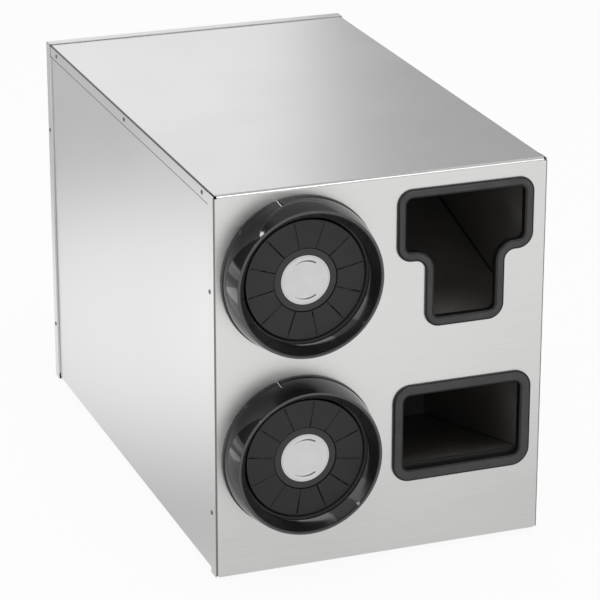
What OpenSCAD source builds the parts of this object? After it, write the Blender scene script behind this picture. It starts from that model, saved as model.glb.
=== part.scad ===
// Countertop cabinet with two pull-type cup dispensers, a lid slot and a condiment bin.
// Lengths are in millimetres. The front faces -Y, up is +Z and the feet stand on z = 0.

/* [Cabinet] */
// Width over the front pan
cab_w = 387.4; // [370:0.1:460]
// Depth from the front face to the rear face
cab_d = 635; // [600:1:760]
// Height of the sheet body without its feet
cab_h = 444.5; // [440:0.5:520]
// Thickness of the stainless sheet
sheet = 1; // [0.8:0.1:1.5]
// Radius on the inside of a bend
bend_r = 1.2; // [0.8:0.1:3]
// Depth of the front pan's side returns
front_return = 18; // [15:0.5:26]
// Depth of the front pan's returns at the top and the bottom
front_tuck = 16; // [12:0.5:22]
// Distance of the top panel's front edge from the front face
top_setback = 5; // [4:0.5:9]
// Height of the top panel's side flanges
top_flange = 14; // [12:0.5:22]
// Depth of the rear cover's flanges
rear_flange = 13; // [11:0.5:20]
// Gap between the rear cover and what it wraps
cover_gap = 0.3; // [0.2:0.05:0.5]

/* [Rivets] */
// Radius of a rivet's head
rivet_head_r = 2.7; // [2:0.1:3.2]
// Height of a rivet's head
rivet_head_h = 1.1; // [0.8:0.1:1.6]
// Radius of a rivet's shank
rivet_r = 1.55; // [1.2:0.05:1.8]
// Distance of the upper side rivets below the top
side_rivet_drop = 111.5; // [70:0.5:160]
// Height of the lower side rivets above the body's bottom
side_rivet_low = 74; // [40:1:140]
// Distance of the first and last top rivet from the cabinet's ends
top_rivet_inset = 40; // [32:1:80]
// Distance of the front rivets from the front face
front_rivet_inset = 14; // [11:0.5:15]

/* [Feet] */
// Radius of a foot at its top
foot_r = 12.5; // [10:0.5:16]
// Height of a foot
foot_h = 6; // [5:0.5:12]
// Distance of a foot's axis from the cabinet's edges
foot_inset = 32; // [26:1:60]
// Radius of a foot screw
foot_screw_r = 2; // [1.5:0.25:2.5]

/* [Front openings] */
// Width and height of the T-shaped trim
lid_trim_size = 162; // [158:0.5:168]
// Height of the T's crossbar over its trim
lid_bar_h = 83; // [76:0.5:90]
// Width of the T's stem over its trim
lid_stem_w = 94.5; // [84:0.5:104]
// Width of the lid slot trim's face
lid_trim_w = 10.5; // [8:0.5:12]
// Corner radius on the outside of the T
lid_corner_r = 18; // [15:0.5:22]
// Radius in the T's two inner corners
lid_fillet_r = 12; // [9:0.5:15]
// Height of the lower trim's middle above the lower dispenser's axis
bin_rise = 2.3; // [0:0.1:4]
// Width of the lower trim
bin_trim_size_w = 166.8; // [150:0.1:172]
// Height of the lower trim
bin_trim_size_h = 115.6; // [100:0.1:130]
// Width of the lower trim's face
bin_trim_w = 12.8; // [9:0.1:15]
// Corner radius on the outside of the lower trim
bin_corner_r = 21; // [18:0.5:26]
// Thickness of both trims in front of the cabinet's face
trim_out = 3; // [2:0.1:5]
// Wall of the trims' sleeves that pass through the panel
trim_sleeve = 1.8; // [1.2:0.1:2.5]
// Distance that the sleeves reach behind the face
trim_depth = 7; // [5:0.5:10]

/* [Chutes] */
// Sheet thickness of the chutes
chute_wall = 1; // [0.8:0.1:1.5]
// Depth of both chutes behind the face
chute_depth = 283; // [200:1:340]
// Gap between the lid slot's cut-out and the lid chute's side walls
lid_side_gap = 2.5; // [1:0.1:5]
// Height of the lid chute's ceiling above the cut-out
lid_head_gap = 2.8; // [1:0.1:5]
// Depth of the lid chute's floor below the cut-out
lid_floor_gap = 10.2; // [2:0.1:14]
// Rise of the lid chute's floor to its rear edge
lid_rise = 71.3; // [30:0.1:90]
// Gap between the lower opening's cut-out and the bin's side walls
bin_side_gap = 3.1; // [1:0.1:6]
// Height of the bin's ceiling above the cut-out
bin_head_gap = 3.3; // [1:0.1:6]
// Height of the bin's sill above the bottom of the cut-out
bin_sill = 7; // [2:0.1:9]
// Height of the bin floor's rear edge above the body's bottom
bin_low = 33; // [15:0.1:60]

/* [Dispensers] */
// Depth of the upper dispenser's axis below the cabinet's top
upper_drop = 98.8; // [94:0.1:106]
// Distance between the axes of the two dispensers
row_pitch = 207.3; // [184:0.1:212]
// Inside radius of the cup tube
tube_r = 70.5; // [66:0.5:70.5]
// Wall of the cup tube
tube_wall = 1.5; // [1:0.1:1.6]
// Length of the cup tube
tube_len = 555; // [500:5:575]
// Distance of the follower's travel
follower_travel = 420; // [200:5:430]
// Radius of the follower's disc
disc_r = 67.5; // [62:0.5:67.5]
// Distance of the disc's face in front of the cabinet's face
disc_out = 20; // [18:0.1:20]
// Radius of the disc's recessed hub
hub_r = 36; // [32:0.5:44]
// Depth of the disc's recessed hub
hub_depth = 0.9; // [0.5:0.1:1.2]
// Radius of the label on the hub
label_r = 27.8; // [20:0.1:30]
// Number of lines pressed into the disc
disc_lines = 12; // [6:1:16]

/* [Collar] */
// Radius of the collar's bead at the cabinet's face
bead_r = 89.5; // [89.5:0.1:91]
// Radius of the collar's skirt just above the bead
skirt_r = 88.2; // [88:0.1:89]
// Radius of the collar's skirt at the lip
lip_r = 83.6; // [83:0.1:86]
// Radius of the mouth inside the lip
mouth_r = 79.6; // [77:0.1:80]
// Distance of the lip in front of the cabinet's face
collar_out = 38; // [35:0.5:46]
// Radius where the collar's inner cone ends above the leaves
cone_r = 73; // [72.8:0.1:73.4]
// Angle through which the collar turns
collar_turn = 36; // [20:1:36]
// Leaf turn for one degree of collar turn
leaf_ratio = 0.385; // [0.2:0.005:0.385]
// Width of the index slit in the collar's skirt
slit_w = 2; // [1:0.1:3]
// Length of the index slit along the skirt
slit_len = 12.5; // [6:0.5:14]

/* [Leaves] */
// Number of retaining leaves in a dispenser
leaf_count = 6; // [4:1:6]
// Thickness of a leaf
leaf_t = 1.5; // [1.2:0.1:1.6]
// Angle that a leaf spans round the throat
leaf_span = 50; // [40:1:50]
// Radius of a leaf's inner edge when open
leaf_in_r = 72.7; // [72.5:0.1:73]
// Radius of a leaf's outer edge when open
leaf_out_r = 82.5; // [82.3:0.1:82.6]
// Radius of the circle on which the leaves pivot
pivot_r = 78.5; // [78.3:0.1:78.6]
// Radius of a pivot pin
pin_r = 1.6; // [1.4:0.05:1.8]

/* [Hidden] */
rows = ["upper", "lower"];
disc_phase = [18.5, 8.5];
per_row = ["mounting_ring", "clamp_ring", "clamp_screws", "tube", "tube_end_cap",
           "follower_spring", "collar", "cam_ring", "follower", "follower_label"];

$fn = 96;
// Overlap that a cutting solid has past the face it cuts
cut = 1;
// Gap at which a separate piece lies on its seat
seat = 0.3;
// Radial gap round a shank in a sheet's hole
hole_gap = 0.1;
// Radial gap of a running fit
run_gap = 0.05;

steel = [0.78, 0.78, 0.77];
dark_steel = [0.16, 0.155, 0.15];
gloss_black = [0.035, 0.035, 0.038];
disc_black = [0.12, 0.12, 0.125];
trim_grey = [0.26, 0.26, 0.27];
tube_white = [0.86, 0.87, 0.88];
label_white = [0.93, 0.93, 0.93];

// Half widths of the sheets that lie on each other at the sides, from the outside in
front_half = cab_w / 2;
flange_half = front_half - sheet;
wall_half = flange_half - sheet;
cover_half = flange_half + cover_gap + sheet;
bend_out = bend_r + sheet;
top_low = cab_h - sheet;
wall_end = cab_d - sheet - cover_gap;

// Axes of the openings: each column stands on the middle of its half of the front
column_x = cab_w / 4;
upper_z = cab_h - upper_drop;
lower_z = upper_z - row_pitch;
axis_z = [upper_z, lower_z];
lid_z = upper_z;
bin_z = lower_z + bin_rise;

// Rivets in the sides
side_rivet_heights = [side_rivet_low, cab_h - side_rivet_drop];
top_rivet_depths = [top_rivet_inset, cab_d / 2, cab_d - top_rivet_inset];
top_rivet_z = cab_h - top_flange / 2 - sheet / 2;
rear_rivet_y = cab_d - rear_flange / 2;

// Trims and chutes
trim_edge = 1;
trim_gap = 0.2;
lid_cut_d = lid_trim_w - trim_sleeve - trim_gap;
bin_cut_d = bin_trim_w - trim_sleeve - trim_gap;
chute_lip = 6;
chute_front = trim_depth + seat;
lid_chute_w = lid_trim_size - 2 * lid_cut_d + 2 * lid_side_gap;
lid_ceiling = lid_z + lid_trim_size / 2 - lid_cut_d + lid_head_gap;
lid_floor = lid_z - lid_trim_size / 2 + lid_cut_d - lid_floor_gap;
lid_slope = atan(lid_rise / (chute_depth - chute_front));
bin_w = bin_trim_size_w - 2 * bin_cut_d + 2 * bin_side_gap;
bin_ceiling = bin_z + bin_trim_size_h / 2 - bin_cut_d + bin_head_gap;
bin_cut_low = bin_z - bin_trim_size_h / 2 + bin_cut_d;
bin_floor = bin_cut_low + bin_sill;
bin_slope = atan((bin_floor - bin_low) / (chute_depth - chute_front));

// Mounting ring, heights above the cabinet's face
socket_wall = 1.7;
socket_depth = 15;
socket_r = tube_r + tube_wall + seat;
throat_r = tube_r - 1.9;
throat_wall = 3;
throat_z = 12;
stop_z = -sheet;
flange_r = 86;
flange_h = 2.5;
deck_top = disc_out;
deck_t = 2;
deck_in_r = throat_r + 2.4;
rim_r = 84;
rim_wall = 1;
bead_low = 8.3;
bead_high = 10.3;
bead_out_r = rim_r + 0.3;

// Clamp ring behind the panel and its screws
panel_hole_r = socket_r + socket_wall + hole_gap + seat;
clamp_screw_r = 2;
screw_edge = 3;
clamp_pcd_r = panel_hole_r + clamp_screw_r + screw_edge;
clamp_count = 4;
clamp_t = 2.5;
boss_r = 3.9;
boss_h = 12;
boss_floor = 2;
screw_end_gap = 2;

// Leaves and the cam ring that drives them
leaf_low = deck_top + seat;
leaf_top = leaf_low + leaf_t;
cam_low = leaf_top + seat;
cam_t = 1.8;
cam_top = cam_low + cam_t;
cam_in_r = cone_r + 1.6;
cam_out_r = rim_r + 0.7;
pivot_eye_r = 4;
drive_angle = 9;
drive_r = 80.5;
drive_pin_r = 1.4;
slot_gap = 0.3;
slot_steps = 12;
slot_over = 1.2;

// Cup tube, follower and spring
tube_front = stop_z;
tube_back = tube_front - tube_len;
cap_t = 2;
cap_skirt = 12;
cap_vent_r = 12;
disc_t = 3;
skirt_t = 2;
stop_t = 3;
guide_gap = 0.4;
line_w = 0.9;
line_depth = 0.45;
stop_top = stop_z - seat;
label_t = 0.4;
spring_r = 56;
spring_wire_r = 1.5;
spring_turns = 14;
spring_steps = 10;
spring_sides = 6;
spring_front = disc_out - disc_t - hub_depth - seat - spring_wire_r;
spring_back = tube_back + seat + spring_wire_r;

// Frame: the origin is the middle of the whole object's footprint
face_y = collar_out / 2 - cab_d / 2;
module on_body() translate([0, face_y, foot_h]) children();
module both_sides() {
    children();
    mirror([1, 0, 0]) children();
}

// Sheet bent to a channel: walls along +y from a web on y = 0
module channel(width, depth, r) {
    outer_r = r + sheet;
    difference() {
        channel_solid(width, depth, outer_r);
        translate([0, sheet]) channel_solid(width - 2 * sheet, depth, r);
    }
}

module channel_solid(width, depth, r) {
    translate([-width / 2, r]) square([width, depth - r]);
    translate([-width / 2 + r, 0]) square([width - 2 * r, depth]);
    for (side = [-1, 1]) translate([side * (width / 2 - r), r]) circle(r);
}

module rounded_rect(width, height, r) {
    square([width - 2 * r, height], center = true);
    square([width, height - 2 * r], center = true);
    for (x = [-1, 1], y = [-1, 1])
        translate([x * (width / 2 - r), y * (height / 2 - r)]) circle(r);
}

// Outlines of the two front openings, drawn d inside the outer edge of their trim
module lid_outline(d) {
    size = lid_trim_size - 2 * d;
    bar_h = lid_bar_h - 2 * d;
    stem_w = lid_stem_w - 2 * d;
    fillet = lid_fillet_r + d;
    bar_low = lid_trim_size / 2 - lid_bar_h + d;
    translate([0, bar_low + bar_h / 2]) rounded_rect(size, bar_h, lid_corner_r - d);
    rounded_rect(stem_w, size, lid_corner_r - d);
    for (side = [-1, 1]) difference() {
        translate([side * (stem_w / 2 + fillet / 2 - cut / 2), bar_low - fillet / 2 + cut / 2])
            square([fillet + cut, fillet + cut], center = true);
        translate([side * (stem_w / 2 + fillet), bar_low - fillet]) circle(fillet);
    }
}

module bin_outline(d)
    rounded_rect(bin_trim_size_w - 2 * d, bin_trim_size_h - 2 * d, bin_corner_r - d);

// Turns a drawing in x and height into a solid that runs back from y = 0 by depth
module from_front(depth) rotate([90, 0, 0]) translate([0, 0, -depth]) linear_extrude(depth) children();

// Holes in both side walls at a height and a distance behind the face
module side_holes(y, z, r) both_sides()
    translate([wall_half - 2 * sheet, y, z]) rotate([0, 90, 0]) cylinder(r = r, h = 8 * sheet);

module side_rivet_holes(y) for (z = side_rivet_heights) side_holes(y, z, rivet_r + hole_gap);
module top_rivet_holes() for (y = top_rivet_depths) side_holes(y, top_rivet_z, rivet_r + hole_gap);

// Cut-outs of the front panel and, for the trims, of the chutes' flanges
module lid_cutout() lid_outline(lid_cut_d);
module bin_cutout() bin_outline(bin_cut_d);

// The front pan bends round both sides, and its corners are notched for the bends along
// its top and bottom, which tuck in under the top panel and the body
module front_panel() color(steel) on_body() difference() {
    tuck_w = 2 * (wall_half - bend_out);
    union() {
        difference() {
            linear_extrude(top_low) channel(cab_w, front_return, bend_r);
            for (z = [-cut, top_low - bend_out])
                translate([-front_half - cut, -cut, z])
                    cube([cab_w + 2 * cut, bend_out + cut, bend_out + cut]);
        }
        translate([-tuck_w / 2, 0, top_low / 2]) rotate([90, 0, 90]) linear_extrude(tuck_w)
            rotate(-90) channel(top_low, front_tuck, bend_r);
    }
    for (z = axis_z) translate([-column_x, 0, z]) rotate([90, 0, 0]) {
        translate([0, 0, -sheet - cut]) cylinder(r = panel_hole_r, h = sheet + 2 * cut);
        clamp_places() translate([0, 0, -sheet - cut])
            cylinder(r = clamp_screw_r + hole_gap, h = sheet + 2 * cut);
    }
    translate([column_x, -cut, lid_z]) from_front(sheet + 2 * cut) lid_cutout();
    translate([column_x, -cut, bin_z]) from_front(sheet + 2 * cut) bin_cutout();
    side_rivet_holes(front_rivet_inset);
}

// The body's walls end in hems that fill the step under the front pan and the rear cover
module body_wrap() color(steel) on_body() difference() {
    wall_start = bend_out + hole_gap;
    wall_top = top_low - bend_out;
    hem_back = 1.5;
    hem_low = sheet + 3 * bend_out;
    hem_high = cab_h - top_flange - sheet;
    front_hem = [wall_start, front_return - hem_back];
    rear_hem = [cab_d - rear_flange + hem_back, wall_end];
    union() {
        translate([0, wall_end, sheet]) rotate([90, 0, 0]) linear_extrude(wall_end - wall_start)
            channel(2 * wall_half, wall_top - sheet, 2 * bend_r);
        both_sides() for (hem = [front_hem, rear_hem])
            translate([wall_half - sheet / 2, hem[0], hem_low])
                cube([1.5 * sheet, hem[1] - hem[0], hem_high - hem_low]);
    }
    side_rivet_holes(front_rivet_inset);
    side_rivet_holes(rear_rivet_y);
    top_rivet_holes();
    foot_places() cylinder(r = foot_screw_r + hole_gap, h = 2 * sheet + cut);
}

module top_panel() color(steel) on_body() difference() {
    flange_front = front_return + cover_gap;
    length = wall_end - flange_front;
    union() {
        translate([0, flange_front + length, cab_h]) rotate([-90, 0, 0]) mirror([0, 0, 1])
            linear_extrude(length) channel(2 * flange_half, top_flange, bend_r);
        translate([-wall_half, top_setback, top_low])
            cube([2 * wall_half, flange_front - top_setback + cut, sheet]);
    }
    top_rivet_holes();
}

module rear_cover() color(steel) on_body() difference() {
    cover_h = cab_h + 2 * cover_gap + sheet;
    middle = (cab_h + sheet) / 2;
    translate([0, cab_d, middle]) rotate([90, 0, 0]) difference() {
        linear_extrude(rear_flange) rounded_rect(2 * cover_half, cover_h, bend_r + sheet);
        translate([0, 0, sheet]) linear_extrude(rear_flange)
            rounded_rect(2 * cover_half - 2 * sheet, cover_h - 2 * sheet, bend_r);
    }
    side_rivet_holes(rear_rivet_y);
}

// Pop rivet along +x: domed head outside with the dimple of its pin, shank through the
// sheets, bulb inside the wall
module rivet(head_x) {
    dome_r = (rivet_head_r * rivet_head_r + rivet_head_h * rivet_head_h) / (2 * rivet_head_h);
    dome_half = asin(rivet_head_r / dome_r);
    pin_r = rivet_head_r / 3;
    pin_half = asin(pin_r / dome_r);
    dimple_x = head_x + rivet_head_h / 2;
    dome_steps = 5;
    tail_x = wall_half - sheet;
    bulb_r = rivet_r + 0.7;
    bulb_h = 2.2;
    rotate([0, 90, 0]) rotate_extrude() polygon(concat(
        [[0, tail_x - bulb_h], [bulb_r, tail_x - bulb_h], [bulb_r, tail_x],
         [rivet_r, tail_x], [rivet_r, head_x]],
        [for (k = [dome_steps : -1 : 0])
            let (a = pin_half + (dome_half - pin_half) * k / dome_steps)
            [dome_r * sin(a), head_x + rivet_head_h - dome_r * (1 - cos(a))]],
        [[pin_r, dimple_x], [0, dimple_x]]));
}

module top_rivets() color(steel) on_body() both_sides()
    for (y = top_rivet_depths) translate([0, y, top_rivet_z]) rivet(flange_half);

module front_rivets() color(steel) on_body() both_sides()
    for (z = side_rivet_heights) translate([0, front_rivet_inset, z]) rivet(front_half);

module rear_rivets() color(steel) on_body() both_sides()
    for (z = side_rivet_heights) translate([0, rear_rivet_y, z]) rivet(cover_half);

// Feet under the body's four corners, each with its screw and nut
foot_head_r = 2 * foot_screw_r;
foot_head_h = 1.4 * foot_screw_r;
foot_recess = 3.4;
foot_taper = 1.5;
foot_tall = foot_h + sheet;
nut_h = 1.6 * foot_screw_r;
screw_proud = 1.5;
module foot_places() both_sides() for (y = [foot_inset, cab_d - foot_inset])
    translate([front_half - foot_inset, y, 0]) children();

module feet() color(gloss_black) on_body() foot_places() translate([0, 0, -foot_h]) difference() {
    union() {
        cylinder(r1 = foot_r - foot_taper, r2 = foot_r, h = foot_tall * 2 / 3);
        translate([0, 0, foot_tall * 2 / 3]) cylinder(r = foot_r, h = foot_tall / 3);
    }
    translate([0, 0, -cut]) cylinder(r = foot_screw_r + hole_gap, h = foot_tall + 2 * cut);
    translate([0, 0, -cut]) cylinder(r = foot_head_r + 1, h = foot_recess + cut);
}

// Screw along +z from the back of its head, with a six-sided socket in the head
module socket_screw(head_r, head_h, shank_r, shank_len) difference() {
    union() {
        translate([0, 0, -head_h]) cylinder(r = head_r, h = head_h);
        translate([0, 0, -head_h / 2]) cylinder(r = shank_r, h = head_h / 2 + shank_len);
    }
    translate([0, 0, -head_h - cut]) cylinder(r = 0.8 * shank_r, h = head_h / 2 + cut, $fn = 6);
}

module foot_screws() color(steel) on_body() foot_places() translate([0, 0, foot_recess - foot_h])
    socket_screw(foot_head_r, foot_head_h, foot_screw_r,
                 foot_tall - foot_recess + sheet + nut_h + screw_proud);

module foot_nuts() color(steel) on_body() foot_places() translate([0, 0, 2 * sheet]) difference() {
    cylinder(r = 2.2 * foot_screw_r, h = nut_h, $fn = 6);
    translate([0, 0, -cut]) cylinder(r = foot_screw_r + run_gap, h = nut_h + 2 * cut);
}

// A trim's face is a raised band with a softened edge, and its sleeve lines the cut-out
module lid_slot_trim() color(trim_grey) on_body() translate([column_x, 0, lid_z]) difference() {
    union() {
        translate([0, trim_edge - trim_out, 0]) from_front(trim_out - trim_edge) lid_outline(0);
        translate([0, -trim_out, 0]) from_front(trim_out) lid_outline(trim_edge);
        from_front(trim_depth) lid_outline(lid_trim_w - trim_sleeve);
    }
    translate([0, -trim_out - cut, 0]) from_front(trim_out + trim_depth + 2 * cut)
        lid_outline(lid_trim_w);
    translate([0, -trim_out - cut, 0]) from_front(trim_edge + cut)
        lid_outline(lid_trim_w - trim_edge);
}

module bin_trim() color(trim_grey) on_body() translate([column_x, 0, bin_z]) difference() {
    union() {
        translate([0, trim_edge - trim_out, 0]) from_front(trim_out - trim_edge) bin_outline(0);
        translate([0, -trim_out, 0]) from_front(trim_out) bin_outline(trim_edge);
        from_front(trim_depth) bin_outline(bin_trim_w - trim_sleeve);
    }
    translate([0, -trim_out - cut, 0]) from_front(trim_out + trim_depth + 2 * cut)
        bin_outline(bin_trim_w);
    translate([0, -trim_out - cut, 0]) from_front(trim_edge + cut)
        bin_outline(bin_trim_w - trim_edge);
}

// A chute is a folded box with a flange on the panel and a floor that slopes from its sill.
// grow is the sheet's thickness for the outside and 0 for the space inside.
module chute_box(width, sill_z, floor_z, ceiling_z, slope, grow) {
    back = chute_depth + grow;
    front = grow > 0 ? sheet : 0;
    sill_y = chute_front + grow;
    back_z = floor_z + (back - chute_front) * tan(slope);
    sill = sill_z < floor_z ? [[sill_y, sill_z - grow]] : [];
    translate([column_x - width / 2 - grow, 0, 0]) rotate([90, 0, 90])
        linear_extrude(width + 2 * grow) polygon(concat(
            [[front, min(sill_z, floor_z) - grow]], sill,
            [[sill_y, floor_z - grow], [back, back_z - grow],
             [back, ceiling_z + grow], [front, ceiling_z + grow]]));
}

// What the chute's inside leaves standing behind the panel: its flange
module flange_block() cube([cab_w, sheet + chute_wall, cab_h]);

module lid_chute() color(dark_steel) on_body() difference() {
    union() {
        chute_box(lid_chute_w, lid_floor, lid_floor, lid_ceiling, lid_slope, chute_wall);
        translate([column_x, sheet, lid_z]) from_front(chute_wall)
            lid_outline(lid_cut_d - chute_lip);
    }
    difference() {
        chute_box(lid_chute_w, lid_floor, lid_floor, lid_ceiling, lid_slope, 0);
        flange_block();
    }
    translate([column_x, 0, lid_z]) from_front(chute_front) lid_cutout();
}

module lower_bin() color(dark_steel) on_body() difference() {
    union() {
        chute_box(bin_w, bin_cut_low, bin_floor, bin_ceiling, -bin_slope, chute_wall);
        translate([column_x, sheet, bin_z]) from_front(chute_wall)
            bin_outline(bin_cut_d - chute_lip);
    }
    difference() {
        chute_box(bin_w, bin_cut_low, bin_floor, bin_ceiling, -bin_slope, 0);
        flange_block();
    }
    translate([column_x, 0, bin_z]) from_front(chute_front) bin_cutout();
}

// Dispensers: drawn round z, with +z towards the user and z = 0 on the cabinet's face
module dispenser(row) on_body() translate([-column_x, 0, axis_z[row]]) rotate([90, 0, 0]) children();

module clamp_places() for (i = [0 : clamp_count - 1])
    rotate(45 + i * 360 / clamp_count) translate([clamp_pcd_r, 0, 0]) children();
module leaf_places() for (i = [1 : leaf_count]) leaf_place(i) children();
module leaf_place(i) rotate((i - 1) * 360 / leaf_count) children();

// Fixed ring: tube socket behind the panel, throat, deck for the leaves and a bead for the collar
module mounting_ring(row) color(gloss_black) dispenser(row) {
    barrel_r = throat_r + throat_wall;
    rim_in_r = rim_r - rim_wall;
    difference() {
        union() {
            rotate_extrude() polygon([
                [throat_r, stop_z], [socket_r, stop_z],
                [socket_r, stop_z - socket_depth], [socket_r + socket_wall, stop_z - socket_depth],
                [socket_r + socket_wall, 0], [flange_r, 0], [flange_r, flange_h],
                [barrel_r, flange_h], [barrel_r, throat_z], [barrel_r + 2, deck_top - deck_t],
                [rim_in_r - 1, deck_top - deck_t], [rim_in_r - 1, bead_low - 2],
                [rim_in_r + 0.3, bead_low - 2], [rim_in_r + 0.3, bead_low],
                [bead_out_r, bead_low], [bead_out_r, bead_high], [rim_r, bead_high + 1],
                [rim_r, leaf_top], [rim_in_r, leaf_top], [rim_in_r, deck_top],
                [deck_in_r, deck_top], [throat_r + 0.6, throat_z + 1.2], [throat_r, throat_z]]);
            clamp_places() cylinder(r = boss_r, h = boss_h);
        }
        clamp_places() translate([0, 0, -cut])
            cylinder(r = clamp_screw_r + run_gap, h = boss_h - boss_floor + cut);
    }
    leaf_places() translate([pivot_r, 0, deck_top - deck_t / 2])
        cylinder(r = pin_r, h = cam_low - seat / 2 - deck_top + deck_t / 2);
}

module clamp_ring(row) color(steel) dispenser(row) difference() {
    translate([0, 0, -sheet - clamp_t]) cylinder(r = flange_r, h = clamp_t);
    translate([0, 0, -sheet - clamp_t - cut])
        cylinder(r = panel_hole_r + hole_gap, h = clamp_t + 2 * cut);
    clamp_places() translate([0, 0, -sheet - clamp_t - cut])
        cylinder(r = clamp_screw_r + hole_gap, h = clamp_t + 2 * cut);
}

module clamp_screws(row) color(steel) dispenser(row) clamp_places() {
    head_z = -sheet - clamp_t;
    translate([0, 0, head_z])
        socket_screw(boss_r - 0.4, 2.2, clamp_screw_r,
                     boss_h - boss_floor - screw_end_gap - head_z);
}

module tube(row) color(tube_white) dispenser(row) difference() {
    translate([0, 0, tube_back]) cylinder(r = tube_r + tube_wall, h = tube_len);
    translate([0, 0, tube_back - cut]) cylinder(r = tube_r, h = tube_len + 2 * cut);
}

module tube_end_cap(row) color(gloss_black) dispenser(row) translate([0, 0, tube_back - cap_t])
    rotate_extrude() polygon([
        [cap_vent_r, 0], [socket_r + cap_t, 0], [socket_r + cap_t, cap_t + cap_skirt],
        [socket_r, cap_t + cap_skirt], [socket_r, cap_t], [cap_vent_r, cap_t]]);

// Follower: a cup-shaped pusher whose rear flange stops behind the throat
module follower(row) color(disc_black) dispenser(row) difference() {
    rotate_extrude() polygon([
        [0, disc_out - disc_t - hub_depth], [disc_r - skirt_t, disc_out - disc_t - hub_depth],
        [disc_r - skirt_t, stop_top - stop_t], [tube_r - guide_gap, stop_top - stop_t],
        [tube_r - guide_gap, stop_top], [disc_r, stop_top], [disc_r, disc_out - 1.2],
        [disc_r - 0.4, disc_out - 0.4], [disc_r - 1.2, disc_out], [hub_r, disc_out],
        [hub_r, disc_out - hub_depth], [0, disc_out - hub_depth]]);
    for (i = [0 : disc_lines - 1])
        rotate(-disc_phase[row] - i * 360 / disc_lines)
            translate([-line_w / 2, hub_r + 1, disc_out - line_depth])
                cube([line_w, disc_r - hub_r - 3, cut + line_depth]);
}

module follower_label(row) color(label_white) dispenser(row)
    translate([0, 0, disc_out - hub_depth]) cylinder(r = label_r, h = label_t);

// Spring from the follower's inside to the tube's end cap, as one tube along its coil.
// Its first and last turn lie flat and wind inside the next one.
end_turns = 1;
function spring_height(t) =
    t < end_turns ? spring_front
    : t > spring_turns - end_turns ? spring_back
    : spring_front + (spring_back - spring_front) * (t - end_turns) / (spring_turns - 2 * end_turns);
function spring_coil_r(t) =
    spring_r - 2.4 * spring_wire_r * (max(0, end_turns - t) + max(0, t - spring_turns + end_turns));
function spring_point(t, side) =
    let (a = 360 * t, ring = spring_coil_r(t) + spring_wire_r * cos(side))
    [ring * cos(a), ring * sin(a), spring_height(t) + spring_wire_r * sin(side)];
module follower_spring(row) color(steel) dispenser(row) {
    rings = spring_turns * spring_steps;
    points = [for (k = [0 : rings], s = [0 : spring_sides - 1])
        spring_point(k / spring_steps, s * 360 / spring_sides)];
    walls = [for (k = [0 : rings - 1], s = [0 : spring_sides - 1])
        let (a = k * spring_sides + s, b = k * spring_sides + (s + 1) % spring_sides)
        each [[a, b, a + spring_sides], [b, b + spring_sides, a + spring_sides]]];
    start = [for (s = [1 : spring_sides - 2]) [0, s + 1, s]];
    last = rings * spring_sides;
    end = [for (s = [1 : spring_sides - 2]) [last, last + s, last + s + 1]];
    polyhedron(points, concat(walls, start, end));
}

// Collar: a skirt and an inner cone that meet at a thin lip. The skirt is open at the rear,
// where a ledge and a bead hold the cam ring and a keeper hooks behind the mounting ring's bead.
collar_low = 0.8;
collar_bead_h = 2.6;
collar_wall = 2;
cone_wall = 1.4;
skirt_steps = 8;
lip_crown = 1.2;
lip_depth = 4;
lip_low = collar_out - lip_depth;
keeper_in_r = rim_r - 0.3;
keeper_low = 4.6;
keeper_high = 7.8;
ledge_r = rim_r;
ledge_h = 3;
groove_top = cam_top + hole_gap;
slit_angle = 16.5;
skirt_low = collar_low + collar_bead_h + 1;
cone_high = collar_out - lip_crown;
function skirt_at(z) = skirt_r - (skirt_r - lip_r) * pow((z - skirt_low) / (cone_high - skirt_low), 1.8);
function cone_at(z) = cone_r + (mouth_r - cone_r) * pow((z - cam_top) / (cone_high - cam_top), 0.9);
function spaced(low, high) = [for (k = [0 : skirt_steps]) low + (high - low) * k / skirt_steps];
function backward(list) = [for (k = [len(list) - 1 : -1 : 0]) list[k]];

module collar(row) color(gloss_black) dispenser(row) difference() {
    bead_in_r = bead_r - 2.6;
    rotate_extrude() polygon(concat(
        [[bead_in_r, collar_low], [bead_r - 0.6, collar_low], [bead_r, collar_low + 0.6],
         [bead_r, collar_low + collar_bead_h - 0.6], [bead_r - 0.5, collar_low + collar_bead_h]],
        [for (z = spaced(skirt_low, cone_high)) [skirt_at(z), z]],
        [[lip_r - 0.5, collar_out - 0.35], [lip_r - 1.3, collar_out],
         [mouth_r + 1, collar_out - 0.1], [mouth_r + 0.3, collar_out - 0.5]],
        [for (z = backward(spaced(cam_top, cone_high))) [cone_at(z), z]],
        [[cone_r, cam_low], [cone_r + cone_wall, cam_low]],
        [for (z = spaced(cam_top, lip_low)) [cone_at(z) + cone_wall, z]],
        [[skirt_at(lip_low) - collar_wall, lip_low], [ledge_r, groove_top + ledge_h],
         [ledge_r, groove_top], [cam_out_r + hole_gap, groove_top],
         [cam_out_r + hole_gap, cam_low - hole_gap],
         [cam_out_r - seat, cam_low - hole_gap], [cam_out_r - seat, cam_low - 1.2],
         [cam_out_r + seat, cam_low - 1.8],
         [skirt_at(keeper_high + 2) - collar_wall, keeper_high + 2],
         [keeper_in_r + 1.2, keeper_high], [keeper_in_r, keeper_high], [keeper_in_r, keeper_low],
         [bead_in_r, keeper_low]]));
    rotate(90 + slit_angle) translate([flange_r + seat, -slit_w / 2, 0])
        cube([bead_r - flange_r + cut, slit_w, slit_len + collar_low]);
}

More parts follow.
